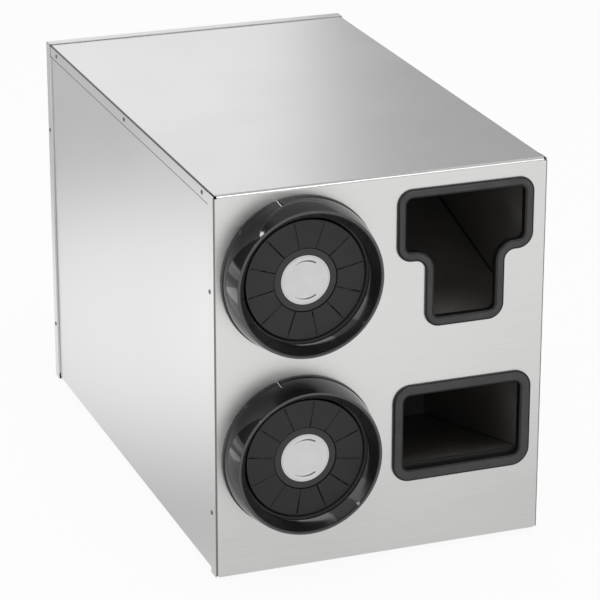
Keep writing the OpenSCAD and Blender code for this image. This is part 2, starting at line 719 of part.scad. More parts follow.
// Path of a leaf's drive pin, seen from the turning collar
drive_arm = [drive_r * cos(drive_angle) - pivot_r, drive_r * sin(drive_angle)];
function turned(p, a) = [p[0] * cos(a) - p[1] * sin(a), p[0] * sin(a) + p[1] * cos(a)];
function slot_point(turn) = turned([pivot_r, 0] + turned(drive_arm, leaf_ratio * turn), turn);
function slot_side(turn, half) =
    let (run = slot_point(turn + 0.5) - slot_point(turn - 0.5), along = run / norm(run))
    slot_point(turn) + half * [-along[1], along[0]];
module cam_slot() {
    half = drive_pin_r + slot_gap;
    turns = [for (k = [0 : slot_steps])
        (collar_turn + 2 * slot_over) * k / slot_steps - slot_over];
    polygon(concat([for (turn = turns) slot_side(turn, half)],
                   [for (turn = backward(turns)) slot_side(turn, -half)]));
}

// Cam ring: one curved slot for each leaf's drive pin
module cam_ring(row) color(disc_black) dispenser(row) translate([0, 0, cam_low]) difference() {
    cylinder(r = cam_out_r, h = cam_t);
    translate([0, 0, -cut]) cylinder(r = cam_in_r, h = cam_t + 2 * cut);
    leaf_places() translate([0, 0, -cut]) linear_extrude(cam_t + 2 * cut) cam_slot();
}

// A leaf is a curved strip that pivots at one end and carries the drive pin
module leaf_outline() {
    reach = 2 * leaf_out_r;
    intersection() {
        difference() {
            circle(leaf_out_r);
            circle(leaf_in_r);
        }
        polygon(concat([[0, 0]],
            [for (a = [0, leaf_span / 2, leaf_span]) reach * [cos(a), sin(a)]]));
    }
    translate([pivot_r, 0]) circle(pivot_eye_r);
}

module leaf(row, i) color(disc_black) dispenser(row) leaf_place(i) {
    translate([0, 0, leaf_low]) difference() {
        linear_extrude(leaf_t) leaf_outline();
        translate([pivot_r, 0, -cut]) cylinder(r = pin_r + run_gap, h = leaf_t + 2 * cut);
    }
    rotate(drive_angle) translate([drive_r, 0, leaf_low + leaf_t / 2])
        cylinder(r = drive_pin_r, h = cam_top - seat - leaf_low - leaf_t / 2);
}

front_panel();
body_wrap();
top_panel();
rear_cover();
top_rivets();
front_rivets();
rear_rivets();
feet();
foot_screws();
foot_nuts();
lid_slot_trim();
bin_trim();
lid_chute();
lower_bin();
for (row = [0, 1]) {
    mounting_ring(row);
    clamp_ring(row);
    clamp_screws(row);
    tube(row);
    tube_end_cap(row);
    follower_spring(row);
    collar(row);
    cam_ring(row);
    follower(row);
    follower_label(row);
    for (i = [1 : leaf_count])
        leaf(row, i);
}
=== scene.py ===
"""Looks of the countertop cup dispenser cabinet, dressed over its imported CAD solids.

The classes' fields are in millimetres, heights and depths as on the real cabinet, and
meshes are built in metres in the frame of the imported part: +Z up, -Y towards the user.
"""

import logging
import math
from dataclasses import dataclass, field
from enum import Enum
from typing import Any, Callable, Mapping, Optional, Sequence, Union

import bmesh
import bpy
from mathutils import Matrix, Vector


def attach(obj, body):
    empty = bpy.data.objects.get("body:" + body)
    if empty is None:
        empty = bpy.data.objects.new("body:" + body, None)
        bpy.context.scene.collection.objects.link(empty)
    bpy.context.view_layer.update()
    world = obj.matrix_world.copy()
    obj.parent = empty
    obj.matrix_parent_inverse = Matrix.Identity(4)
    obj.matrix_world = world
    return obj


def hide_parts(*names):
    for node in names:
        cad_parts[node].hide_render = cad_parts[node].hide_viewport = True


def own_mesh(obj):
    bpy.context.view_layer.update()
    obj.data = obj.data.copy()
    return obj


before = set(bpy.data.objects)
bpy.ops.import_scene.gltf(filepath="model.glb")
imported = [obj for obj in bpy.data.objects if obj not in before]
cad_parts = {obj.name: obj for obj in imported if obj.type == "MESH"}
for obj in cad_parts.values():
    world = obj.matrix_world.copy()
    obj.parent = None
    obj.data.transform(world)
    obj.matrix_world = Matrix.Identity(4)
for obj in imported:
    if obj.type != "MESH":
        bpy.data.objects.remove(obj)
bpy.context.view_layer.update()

log = logging.getLogger("dispenser_cabinet")

Point = tuple[float, float, float]
Pair = tuple[float, float]
Colour = tuple[float, float, float]
Corner = tuple[float, float, float]
Path = list[tuple[Vector, Vector]]
Move = Callable[[Point], Point]
Key = Union[int, str]
Value = Union[float, Sequence[float], "Sock"]
Looks = dict[str, Value]
NoiseKind = tuple[Any, ...]
Material = bpy.types.Material

MM = 0.001
ORIGIN: Point = (0.0, 0.0, 0.0)
FACE_Y = -298.5
FOOT_H = 6.0
CABINET = "cabinet"
# Most of a noise's values lie between these two
SPREAD: Pair = (0.3, 0.7)


class Grain(Enum):
    """Which way the brushing of a sheet runs, as noise frequencies along x, y and z per metre."""

    LEVEL = (14.0, 14.0, 1500.0)
    DEPTH = (1500.0, 14.0, 1500.0)


class Row(Enum):
    """The two dispensers, with the names of their nodes."""

    UPPER = "upper"
    LOWER = "lower"


class Sock:
    """An output socket of a shader graph, with the arithmetic that the finishes use."""

    def __init__(self, graph: "Graph", socket: bpy.types.NodeSocket) -> None:
        """Keeps the socket and the graph that new nodes go into."""
        self.graph = graph
        self.socket = socket

    def other(self, output: Key) -> "Sock":
        """Returns another output of the same node."""
        return Sock(self.graph, self.socket.node.outputs[output])

    def _math(self, operation: str, first: Value, second: Value = 0.0) -> "Sock":
        """Returns the result of one Math node."""
        return self.graph.add("ShaderNodeMath", {"operation": operation}, {0: first, 1: second})

    def __add__(self, other: Value) -> "Sock":
        """Returns self + other."""
        return self._math("ADD", self, other)

    __radd__ = __add__

    def __sub__(self, other: Value) -> "Sock":
        """Returns self - other."""
        return self._math("SUBTRACT", self, other)

    def __rsub__(self, other: Value) -> "Sock":
        """Returns other - self."""
        return self._math("SUBTRACT", other, self)

    def __mul__(self, other: Value) -> "Sock":
        """Returns self * other."""
        return self._math("MULTIPLY", self, other)

    __rmul__ = __mul__

    def __abs__(self) -> "Sock":
        """Returns the size of self without its sign."""
        return self._math("ABSOLUTE", self)

    def largest(self, other: Value) -> "Sock":
        """Returns the larger of self and other."""
        return self._math("MAXIMUM", self, other)

    def fall(self, low: float, high: float) -> "Sock":
        """Turns a value smoothly from 1, at low, to 0, at high."""
        return self.step(low, high, 1.0, 0.0)

    def step(self, low: float, high: float, start: float = 0.0, end: float = 1.0) -> "Sock":
        """Turns a value smoothly from start, at low and below, to end, at high and above."""
        sockets = {"Value": self, "From Min": low, "From Max": high, "To Min": start, "To Max": end}
        return self.graph.add("ShaderNodeMapRange", {"interpolation_type": "SMOOTHSTEP"}, sockets)


class Graph:
    """The nodes of one material or world."""

    def __init__(self, owner: Union[Material, bpy.types.World]) -> None:
        """Empties the owner's nodes and adds its output.

        Args:
            owner: The material or world.
        """
        owner.use_nodes = True
        self.tree = owner.node_tree
        self.tree.nodes.clear()
        kind = "World" if isinstance(owner, bpy.types.World) else "Material"
        self.end = self.tree.nodes.new(f"ShaderNodeOutput{kind}")

    def plug(self, socket: bpy.types.NodeSocket, value: Value) -> None:
        """Links a socket to another one, or sets its value.

        Args:
            socket: The input socket.
            value: A wrapped socket, a number, or a colour or vector.
        """
        if isinstance(value, Sock):
            self.tree.links.new(value.socket, socket)
        elif isinstance(value, (int, float)):
            socket.default_value = value
        else:
            full = len(socket.default_value)
            socket.default_value = tuple(value) + (1.0,) * (full - len(value))

    def add(
        self, kind: str, settings: Mapping[str, Any], sockets: Mapping[Key, Value], output: Key = 0
    ) -> Sock:
        """Adds any node.

        Args:
            kind: The node's type.
            settings: Its settings, set first.
            sockets: Its input sockets' values or links, by name or place.
            output: Which output to return.

        Returns:
            The wrapped output.
        """
        node = self.tree.nodes.new(kind)
        for name, value in settings.items():
            setattr(node, name, value)
        for key, value in sockets.items():
            self.plug(node.inputs[key], value)
        return Sock(self, node.outputs[output])

    def place(self, kind: str = "Object") -> Sock:
        """Returns the place on the object, in metres in the part's frame, or another coordinate."""
        return self.add("ShaderNodeTexCoord", {}, {}, kind)

    def spot(self, centre: Point = ORIGIN) -> Sock:
        """Returns the place as seen from a centre, both in millimetres."""
        arm = self.vector("SUBTRACT", self.place(), tuple(part * MM for part in centre))
        return self.vector("MULTIPLY", arm, grey(1 / MM))

    def split(self, vector: Sock, axis: str) -> Sock:
        """Returns one part of a vector, whose other parts are the same node's other outputs."""
        return self.add("ShaderNodeSeparateXYZ", {}, {0: vector}, axis)

    def reach(self, arm: Sock) -> Sock:
        """Returns how far an arm reaches from the axis that runs from front to back."""
        flat = self.vector("MULTIPLY", arm, (1.0, 0.0, 1.0))
        return self.vector("LENGTH", flat, grey(0.0), 1)

    def vector(self, operation: str, first: Value, second: Value, output: int = 0) -> Sock:
        """Returns the result of one Vector Math node."""
        sockets = {0: first, 1: second}
        return self.add("ShaderNodeVectorMath", {"operation": operation}, sockets, output)

    def noise(
        self, scale: Union[float, Sequence[float]], detail: float = 2.0, rough: float = 0.5
    ) -> Sock:
        """Makes noise with its own frequency along each axis.

        Args:
            scale: Frequency per metre, or one each along x, y and z.
            detail: Number of finer layers.
            rough: Weight of the finer layers.

        Returns:
            The noise, about 0.5 in the middle.
        """
        along = grey(scale) if isinstance(scale, float) else scale
        coords = self.vector("MULTIPLY", self.place(), along)
        sockets = {"Vector": coords, "Scale": 1.0, "Detail": detail, "Roughness": rough}
        return self.add("ShaderNodeTexNoise", {}, sockets)

    def mix(self, factor: Value, first: Value, second: Value) -> Sock:
        """Returns a colour between first, at factor 0, and second, at 1."""
        return self.add("ShaderNodeMix", {"data_type": "RGBA"}, {0: factor, 6: first, 7: second}, 2)

    def bump(self, height: Value, strength: float, distance: float) -> Sock:
        """Returns a normal that follows a height, as deep as distance in millimetres."""
        sockets = {"Strength": strength, "Distance": distance * MM, "Height": height}
        return self.add("ShaderNodeBump", {}, sockets, "Normal")

    def show(self, shader: Sock) -> None:
        """Makes a shader the owner's surface."""
        self.plug(self.end.inputs["Surface"], shader)

    def seen(self) -> tuple[Sock, Sock]:
        """Returns whether a ray is the camera's, and whether it's a glossy or transmitted one."""
        camera = self.add("ShaderNodeLightPath", {}, {}, "Is Camera Ray")
        return camera, camera.other("Is Glossy Ray").largest(camera.other("Is Transmission Ray"))


def grey(level: float) -> Colour:
    """Returns a grey, or a vector with three equal parts."""
    return (level,) * 3


def tinted(colour: Colour, factor: float) -> Colour:
    """Returns a colour made lighter or darker by a factor."""
    return tuple(min(1.0, part * factor) for part in colour)


@dataclass(frozen=True)
class Finish:
    """What every finish has."""

    name: str
    colour: Colour
    roughness: float

    def look(self, graph: Graph) -> Looks:
        """Returns the Principled shader's sockets by name."""
        raise NotImplementedError

    def shades(self, graph: Graph, mask: Value, low: float, high: float) -> Sock:
        """Returns the colour low times as bright where the mask is 0, and high times at 1."""
        return graph.mix(mask, tinted(self.colour, low), tinted(self.colour, high))

    def rough(self, speck: Sock, less: float, more: float) -> Sock:
        """Returns the roughness, less in a noise's hollows and more on its heights."""
        return speck.step(*SPREAD, self.roughness - less, self.roughness + more)

    def make(self) -> Material:
        """Makes the finish.

        Returns:
            The finish as a material.
        """
        material = bpy.data.materials.new(self.name)
        graph = Graph(material)
        graph.show(graph.add("ShaderNodeBsdfPrincipled", {}, self.look(graph)))
        return material


@dataclass(frozen=True)
class BrushedSteel(Finish):
    """Stainless sheet with a directional brush and faint blotches, and painted shade along one pair
    of bends.

    The bend is the place across, the second axis, and where the bend starts along it. From
    there it runs away from the middle, darkened as painted shade. Below the height lap_z, where
    another sheet laps over this one, runs a dark line of painted shadow.
    """

    grain: Grain = Grain.LEVEL
    brush: float = 0.12
    contrast: float = 0.05
    streak: float = 0.055
    bend: Optional[tuple[float, str, float]] = None
    bend_shade: float = 0.3
    lap_z: Optional[float] = None
    lap_drop: float = 1.7
    lap_shade: float = 0.28

    def look(self, graph: Graph) -> Looks:
        """Lines of two widths and slow blotches, in colour, roughness and relief.

        Args:
            graph: The material's nodes.

        Returns:
            The shader's sockets by name.
        """
        along = self.grain.value
        fine = graph.noise(along, 3.0, 0.65)
        wide = graph.noise([part * 0.28 for part in along], 2.0, 0.6)
        blotch = graph.noise((5.0, 5.0, 6.5), 4.0, 0.62)
        lines = fine * 0.75 + wide * 0.25
        tone = lines.step(0.32, 0.68) * 0.7 + blotch.step(*SPREAD) * 0.3
        sheet = self.shades(graph, tone, 1 - self.contrast, 1 + self.contrast)
        # Painted shade: the sheet is darkened along its bends, standing in for the shade in the
        # seam and the bend's dark reflection.
        if self.bend:
            side, axis, start = self.bend
            x = graph.split(graph.spot(), "X")
            edge = abs(x).step(side, side + 0.7)
            edge = edge * x.other(axis).step(start, start + math.copysign(0.9, start))
            sheet = graph.mix(edge, sheet, tinted(self.colour, self.bend_shade))
        # Painted shadow: a dark line just below the edge of the flange that laps over this sheet.
        if self.lap_z:
            z = graph.split(graph.spot(), "Z")
            line = abs(z - (self.lap_z - self.lap_drop)).fall(0.5, 0.8)
            sheet = graph.mix(line, sheet, tinted(self.colour, self.lap_shade))
        rough = self.rough(lines, self.streak, self.streak)
        return {
            "Base Color": sheet,
            "Metallic": 1.0,
            "Roughness": rough + blotch.step(0.35, 0.75, 0.0, 0.05),
            "Normal": graph.bump(lines, self.brush, 0.12),
        }


@dataclass(frozen=True)
class Speckled(Finish):
    """Fastener steel, with slow clouds of tone and fine specks in roughness and relief.

    A kind of noise is its frequency, its finer layers and their weight. The tone runs over
    a spread of the clouds' values, and the relief is its strength and depth.
    """

    specks: NoiseKind = (900.0, 3.0, 0.6)
    clouds: NoiseKind = (90.0,)
    spread: Pair = SPREAD
    tone: Pair = (0.86, 1.08)
    unevenness: Pair = (0.06, 0.08)
    relief: Pair = (0.12, 0.1)
    metallic: float = 1.0

    def look(self, graph: Graph) -> Looks:
        """Clouds in colour, specks in roughness and relief.

        Args:
            graph: The material's nodes.

        Returns:
            The shader's sockets by name.
        """
        speck = graph.noise(*self.specks)
        cloud = graph.noise(*self.clouds).step(*self.spread)
        return {
            "Base Color": self.shades(graph, cloud, *self.tone),
            "Metallic": self.metallic,
            "Roughness": self.rough(speck, *self.unevenness),
            "Normal": graph.bump(speck, *self.relief),
        }


@dataclass(frozen=True)
class Rubber(Speckled):
    """Matt black rubber with a bloom in its pores."""

    specks: NoiseKind = (2200.0, 3.0, 0.6)
    clouds: NoiseKind = (120.0, 4.0, 0.7)
    spread: Pair = (0.4, 0.8)
    tone: Pair = (1.0, 2.2)
    unevenness: Pair = (0.05, 0.05)
    relief: Pair = (0.3, 0.2)
    metallic: float = 0.0


@dataclass(frozen=True)
class TubeStock(Speckled):
    """Extruded translucent-white tube, with drawing lines along its length and a slow haze."""

    specks: NoiseKind = ((700.0, 5.0, 700.0), 2.0, 0.6)
    clouds: NoiseKind = (12.0, 3.0)
    tone: Pair = (0.95, 1.0)
    unevenness: Pair = (0.05, 0.08)
    relief: Pair = (0.2, 0.1)
    metallic: float = 0.0


@dataclass(frozen=True)
class MouldedPlastic(Finish):
    """Injection moulded plastic, from polished to a fine spark-eroded texture."""

    texture: float = 0.1
    texture_scale: float = 1400.0
    dust: float = 0.0
    ior: float = 1.5

    def look(self, graph: Graph) -> Looks:
        """Texture in relief, slow sink marks and a little dust that settles unevenly.

        Args:
            graph: The material's nodes.

        Returns:
            The shader's sockets by name.
        """
        pebble = graph.noise(self.texture_scale, 2.0, 0.55)
        sink = graph.noise(26.0)
        wipe = graph.noise((60.0, 60.0, 220.0), 4.0, 0.65)
        dusty = wipe.step(0.5, 0.78) * self.dust + sink.step(0.35, 0.65, 0.0, 0.03)
        wiped = wipe.step(0.35, 0.7, self.roughness, self.roughness * 1.35)
        return {
            "Base Color": self.shades(graph, dusty, 1.0, 3.0),
            "Roughness": wiped + pebble.step(*SPREAD, -0.01, 0.02),
            "IOR": self.ior,
            "Normal": graph.bump(pebble * self.texture + sink * 1.5, 0.35, 0.14),
        }


@dataclass(frozen=True)
class CollarGloss(MouldedPlastic):
    """The collar's polished plastic, with a painted highlight on its lip and a painted highlight
    line in its slit.
    """

    texture: float = 0.04
    texture_scale: float = 900.0
    dust: float = 0.05
    ior: float = 1.54
    centre: Point = ORIGIN
    lip_out: float = 38.0
    slit_angle: float = 106.5
    slit_end: float = 13.3
    rubbed: Colour = (0.075, 0.075, 0.077)
    # The slit's pale line is a painted highlight.
    index: Colour = (0.62, 0.62, 0.62)

    def look(self, graph: Graph) -> Looks:
        """Puts the painted lip highlight and the slit's painted highlight line over the plastic.

        Args:
            graph: The material's nodes.

        Returns:
            The shader's sockets by name.
        """
        plain = super().look(graph)
        y = graph.split(graph.spot(self.centre), "Y")
        out, x, z = y * -1.0, y.other("X"), y.other("Z")
        # Painted highlight: the lip's crown is coloured grey, as if it caught light.
        lip = out.step(self.lip_out - 0.35, self.lip_out - 0.15)
        # Painted highlight: a pale line along the slit's rib, up to the slit's end.
        lean = math.radians(self.slit_angle)
        across = x * math.sin(lean) - z * math.cos(lean)
        line = abs(across).fall(0.5, 0.6) * z.step(1.0, 2.0)
        line = line * out.fall(self.slit_end, self.slit_end + 0.3)
        worn = graph.mix(lip, plain["Base Color"], self.rubbed)
        plain["Base Color"] = graph.mix(line, worn, self.index)
        return plain


@dataclass(frozen=True)
class TrimRubber(Finish):
    """Extruded trim with a matt grey face, whose lips, sides and sleeve are painted near-black as
    shade.
    """

    face_out: float = 3.0
    side_colour: Colour = (0.008, 0.008, 0.008)

    def look(self, graph: Graph) -> Looks:
        """The face's grey ends just below its height, and below that painted shade darkens the
        rest.

        Args:
            graph: The material's nodes.

        Returns:
            The shader's sockets by name.
        """
        y = graph.split(graph.spot(), "Y")
        # Painted shade: near-black below 70 to 86 percent of the face's height, for the trim's dark
        # outlines.
        side = y.step(FACE_Y - self.face_out * 0.86, FACE_Y - self.face_out * 0.7)
        pebble = graph.noise(1500.0, 3.0, 0.6)
        cloud = graph.noise(45.0, 4.0, 0.65)
        face = self.shades(graph, cloud.step(0.3, 0.72), 0.85, 1.2)
        return {
            "Base Color": graph.mix(side, face, self.side_colour),
            "Roughness": side * -0.12 + self.rough(pebble, 0.04, 0.06),
            "Normal": graph.bump(pebble, 0.3, 0.12),
        }


@dataclass(frozen=True)
class DiscPlastic(Finish):
    """The follower's satin plastic, whose recessed hub is a lighter, matt grey."""

    hub_colour: Colour = (0.036, 0.036, 0.037)
    centre: Point = ORIGIN
    hub_r: float = 35.9

    def look(self, graph: Graph) -> Looks:
        """Satin with turning marks outside the hub, a matt field in it, and painted shade in the
        pressed lines and round the hub's edge.

        Args:
            graph: The material's nodes.

        Returns:
            The shader's sockets by name.
        """
        arm = graph.spot(self.centre)
        reach = graph.reach(arm)
        hub = reach.fall(self.hub_r - 0.4, self.hub_r + 0.2)
        cloud = graph.noise(40.0, 3.0, 0.6)
        # Painted shade: the pressed lines and the hub's edge are dark and metallic, so they reflect
        # almost nothing.
        groove_shade = graph.split(arm, "Y").step(0.12, 0.35) * (1.0 - hub)
        groove_shade = groove_shade * cloud.step(0.46, 0.56, 0.1, 1.0)
        lines = groove_shade.largest(abs(reach - self.hub_r).fall(0.35, 0.8))
        pebble = graph.noise(1500.0, 3.0, 0.6)
        turning = {"W": reach, "Scale": 0.9, "Detail": 2.0}
        rings = graph.add("ShaderNodeTexNoise", {"noise_dimensions": "1D"}, turning)
        satin = self.shades(graph, cloud.step(*SPREAD), 1.0, 1.35)
        face = graph.mix(hub, satin, self.hub_colour)
        return {
            "Base Color": graph.mix(lines, face, tinted(self.colour, 0.15)),
            "Metallic": lines * 0.8,
            "IOR": 1.47,
            "Roughness": hub * 0.16 + self.rough(pebble, 0.03, 0.05),
            "Normal": graph.bump(pebble * 0.8 + rings * 0.4, 0.25, 0.15),
        }


@dataclass(frozen=True)
class PaintedSheet(Finish):
    """Dark paint on the chutes' sheet, with orange peel and rub marks along the floor."""

    rub_colour: Colour = (0.2, 0.19, 0.18)
    dust_colour: Colour = (0.3, 0.29, 0.28)
    # Where the floor meets the right wall, along which the painted shade runs.
    corner_x: float = 0.0

    def look(self, graph: Graph) -> Looks:
        """Orange peel, clouds, rubs that run to the back, painted light there, and painted shade
        along the floor's corner and front edge.

        Args:
            graph: The material's nodes.

        Returns:
            The shader's sockets by name.
        """
        peel = graph.noise(420.0)
        cloud = graph.noise(16.0, 4.0, 0.6)
        rub = graph.noise((260.0, 9.0, 260.0), 4.0, 0.7)
        worn = rub.step(0.62, 0.8) * cloud.step(0.45, 0.7)
        x = graph.split(graph.spot(), "X")
        deep = x.other("Y") - FACE_Y
        normal = graph.add("ShaderNodeNewGeometry", {}, {}, "Normal")
        # Painted shade: a dark line on the floor along its corner with the right wall.
        painted_shade = abs(x - self.corner_x).fall(1.5, 4.0) * graph.split(normal, "Z").step(0.5, 0.7)
        # Painted shade: the floor is darkened near its front edge.
        painted_shade = painted_shade.largest(deep.fall(10.0, 13.0))
        paint = self.shades(graph, cloud.step(0.25, 0.75), 0.8, 1.25)
        paint = graph.mix(worn * 0.35, paint, self.rub_colour)
        # Painted light: the paint turns lighter from 40 to 300 mm behind the face, where the chute
        # lies in shade.
        paint = graph.mix(deep.step(40.0, 300.0) * 0.55, paint, self.dust_colour)
        return {
            "Base Color": graph.mix(painted_shade, paint, tinted(self.colour, 0.1)),
            "Roughness": worn * -0.1 + self.rough(cloud, 0.06, 0.06),
            "Normal": graph.bump(peel, 0.3, 0.2),
        }


@dataclass(frozen=True)
class LabelStock(Finish):
    """White label stock with a thin ring and two plain turning marks, and no words."""

    ink: Colour = (0.11, 0.11, 0.115)
    centre: Point = ORIGIN
    ring_r: float = 26.2
    mark_r: float = 21.5
    mark_end: float = 34.0

    def look(self, graph: Graph) -> Looks:
        """Ink on paper: the ring is a circle, and the marks are two arcs that taper.

        Args:
            graph: The material's nodes.

        Returns:
            The shader's sockets by name.
        """
        arm = graph.spot(self.centre)
        reach = graph.reach(arm)
        x = graph.split(arm, "X")
        turn = graph.add("ShaderNodeMath", {"operation": "ARCTAN2"}, {0: x, 1: abs(x.other("Z"))})
        turn = turn * math.degrees(1.0)
        taper = turn.step(-self.mark_end, 20.0, 0.15, 0.85)
        mark = (taper - abs(reach - self.mark_r)).step(-0.12, 0.12)
        mark = mark * abs(turn).fall(self.mark_end - 1.0, self.mark_end)
        ring = (0.16 - abs(reach - self.ring_r)).step(-0.1, 0.1) * 0.45
        fibre = graph.noise(1800.0, 3.0, 0.6)
        cloud = graph.noise(70.0, 3.0)
        paper = self.shades(graph, cloud.step(*SPREAD), 0.96, 1.0)
        return {
            "Base Color": graph.mix(mark.largest(ring), paper, self.ink),
            "Roughness": self.rough(fibre, 0.05, 0.08),
            "Normal": graph.bump(fibre, 0.15, 0.1),
        }


@dataclass
class Shape:
    """Points and faces of a mesh while it is put together, in millimetres."""

    points: list[Point] = field(default_factory=list)
    faces: list[tuple[int, ...]] = field(default_factory=list)

    def join(self, other: "Shape", place: Move) -> None:
        """Adds another shape's points and faces.

        Args:
            other: The shape to add.
            place: Moves each of its points.
        """
        first = len(self.points)
        self.points += [place(p) for p in other.points]
        self.faces += [tuple(first + i for i in face) for face in other.faces]

    def skin(self, rows: Sequence[Sequence[int]], closed: bool = False) -> None:
        """Lays faces between rows of points that each run round.

        Args:
            rows: The points' numbers. A row with one number throughout is a tip.
            closed: Whether the last row joins the first.
        """
        for low, high in list(zip(rows, rows[1:])) + [(rows[-1], rows[0])] * closed:
            for col in range(len(low)):
                after = (col + 1) % len(low)
                face = [low[col], low[after], high[after], high[col]]
                face = [v for k, v in enumerate(face) if v != face[k - 1]]
                if len(face) > 2:
                    self.faces.append(tuple(face))

    def to_object(
        self, name: str, material: Material, place: Move = lambda p: p, crease: float = 32.0
    ) -> bpy.types.Object:
        """Makes a Blender object in the part's frame.

        Args:
            name: The object's name.
            material: Its finish.
            place: Moves each point, in millimetres.
            crease: Angle in degrees from which an edge stays sharp.

        Returns:
            The new object, linked to the scene.
        """
        mesh = bpy.data.meshes.new(name)
        mesh.from_pydata([Vector(place(p)) * MM for p in self.points], [], self.faces)
        work = bmesh.new()
        work.from_mesh(mesh)
        bmesh.ops.remove_doubles(work, verts=work.verts, dist=1e-6)
        work.to_mesh(mesh)
        work.free()
        mesh.validate()
        mesh.materials.append(material)
        mesh.shade_smooth()
        mesh.set_sharp_from_angle(angle=math.radians(crease))
        made = bpy.data.objects.new(name, mesh)
        bpy.context.scene.collection.objects.link(made)
        return made


def rounded(corners: Sequence[Corner], steps: int = 5) -> list[Pair]:
    """Rounds the corners of an open line.

    Args:
        corners: Points as (a, b, radius).
        steps: Number of short lines in a rounding.

    Returns:
        The line's points with each corner replaced by a curve.
    """
    line: list[Pair] = []
    last = len(corners) - 1
    for i, (a, b, radius) in enumerate(corners):
        here = Vector((a, b))
        if radius == 0 or i in (0, last):
            line.append((a, b))
            continue
        before = Vector(corners[i - 1][:2]) - here
        after = Vector(corners[i + 1][:2]) - here
        start = here + before.normalized() * min(radius, before.length * 0.49)
        end = here + after.normalized() * min(radius, after.length * 0.49)
        for k in range(steps + 1):
            t = k / steps
            line.append(tuple(start * (1 - t) ** 2 + here * 2 * t * (1 - t) + end * t * t))
    return line


def even_turn(count: int) -> list[float]:
    """Returns that many angles round a circle, in radians."""
    return [2 * math.pi * k / count for k in range(count)]


def lathe(
    profile: Sequence[Pair],
    angles: Sequence[float],
    bend: Callable[[int, int, float, float, float], Point] = lambda row, col, r, z, a: (r, z, a),
    closed: bool = False,
) -> Shape:
    """Turns a profile round the z axis.

    Args:
        profile: Points as (radius, height).
        angles: Angles of the columns, in radians.
        bend: Gives a point's radius, height and angle from its row, column, radius, height and
            angle.
        closed: Whether the last point joins the first.

    Returns:
        The turned shape.
    """
    shape = Shape()
    rows: list[Sequence[int]] = []
    for row, (radius, height) in enumerate(profile):
        if radius < 1e-6:
            rows.append([len(shape.points)] * len(angles))
            shape.points.append((0.0, 0.0, height))
            continue
        rows.append(range(len(shape.points), len(shape.points) + len(angles)))
        for col, angle in enumerate(angles):
            r, z, a = bend(row, col, radius, height, angle)
            shape.points.append((r * math.cos(a), r * math.sin(a), z))
    shape.skin(rows, closed)
    return shape


def sweep(path: Path, profile: Sequence[Pair]) -> Shape:
    """Moves a profile along a closed outline.

    Args:
        path: Points of the outline with their inward normals, in x and z.
        profile: Points as (distance inwards, distance to the front).

    Returns:
        The swept shape, in x, y and z.
    """
    shape = Shape()
    for spot, inward in path:
        for d, out in profile:
            at = spot + inward * d
            shape.points.append((at.x, -out, at.y))
    width = len(profile)
    shape.skin([range(k, len(shape.points), width) for k in range(width)], True)
    return shape


def outline(corners: Sequence[Corner], steps: int = 12) -> Path:
    """Rounds a closed outline with true arcs.

    Args:
        corners: Points as (x, z, radius), counter-clockwise.
        steps: Number of short lines in an arc.

    Returns:
        Points with their inward normals.
    """
    path: Path = []
    for i, (x, z, radius) in enumerate(corners):
        here = Vector((x, z))
        into = (here - Vector(corners[i - 1][:2])).normalized()
        away = (Vector(corners[(i + 1) % len(corners)][:2]) - here).normalized()
        turn = into.x * away.y - into.y * away.x
        side = 1.0 if turn > 0 else -1.0
        start_normal = Vector((-into.y, into.x))
        centre = here - into * radius + start_normal * radius * side
        for k in range(steps + 1):
            swing = side * math.pi / 2 * k / steps
            normal = Matrix.Rotation(swing, 2) @ start_normal
            path.append((centre - normal * radius * side, normal))
    return path


def adopt(made: bpy.types.Object, body: str, node: str, slot: str) -> None:
    """Lets a new piece ride on a body and stand for a CAD node.

    Args:
        made: The new piece.
        body: The CAD body that it moves with.
        node: The CAD node that it stands for.
        slot: A material slot's name; not used.
    """
    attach(made, body)
    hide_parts(node)
    log.info("%s rides on %s, faces: %d", made.name, body, len(made.data.polygons))


def dress(node: str, material: Material) -> None:
    """Gives a CAD node that keeps its own mesh a better finish.

    Args:
        node: The node's name.
        material: The finish.
    """
    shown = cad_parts[node]
    shown.data.materials.clear()
    shown.data.materials.append(material)
    log.info("%s keeps its solid and gets %s", node, material.name)


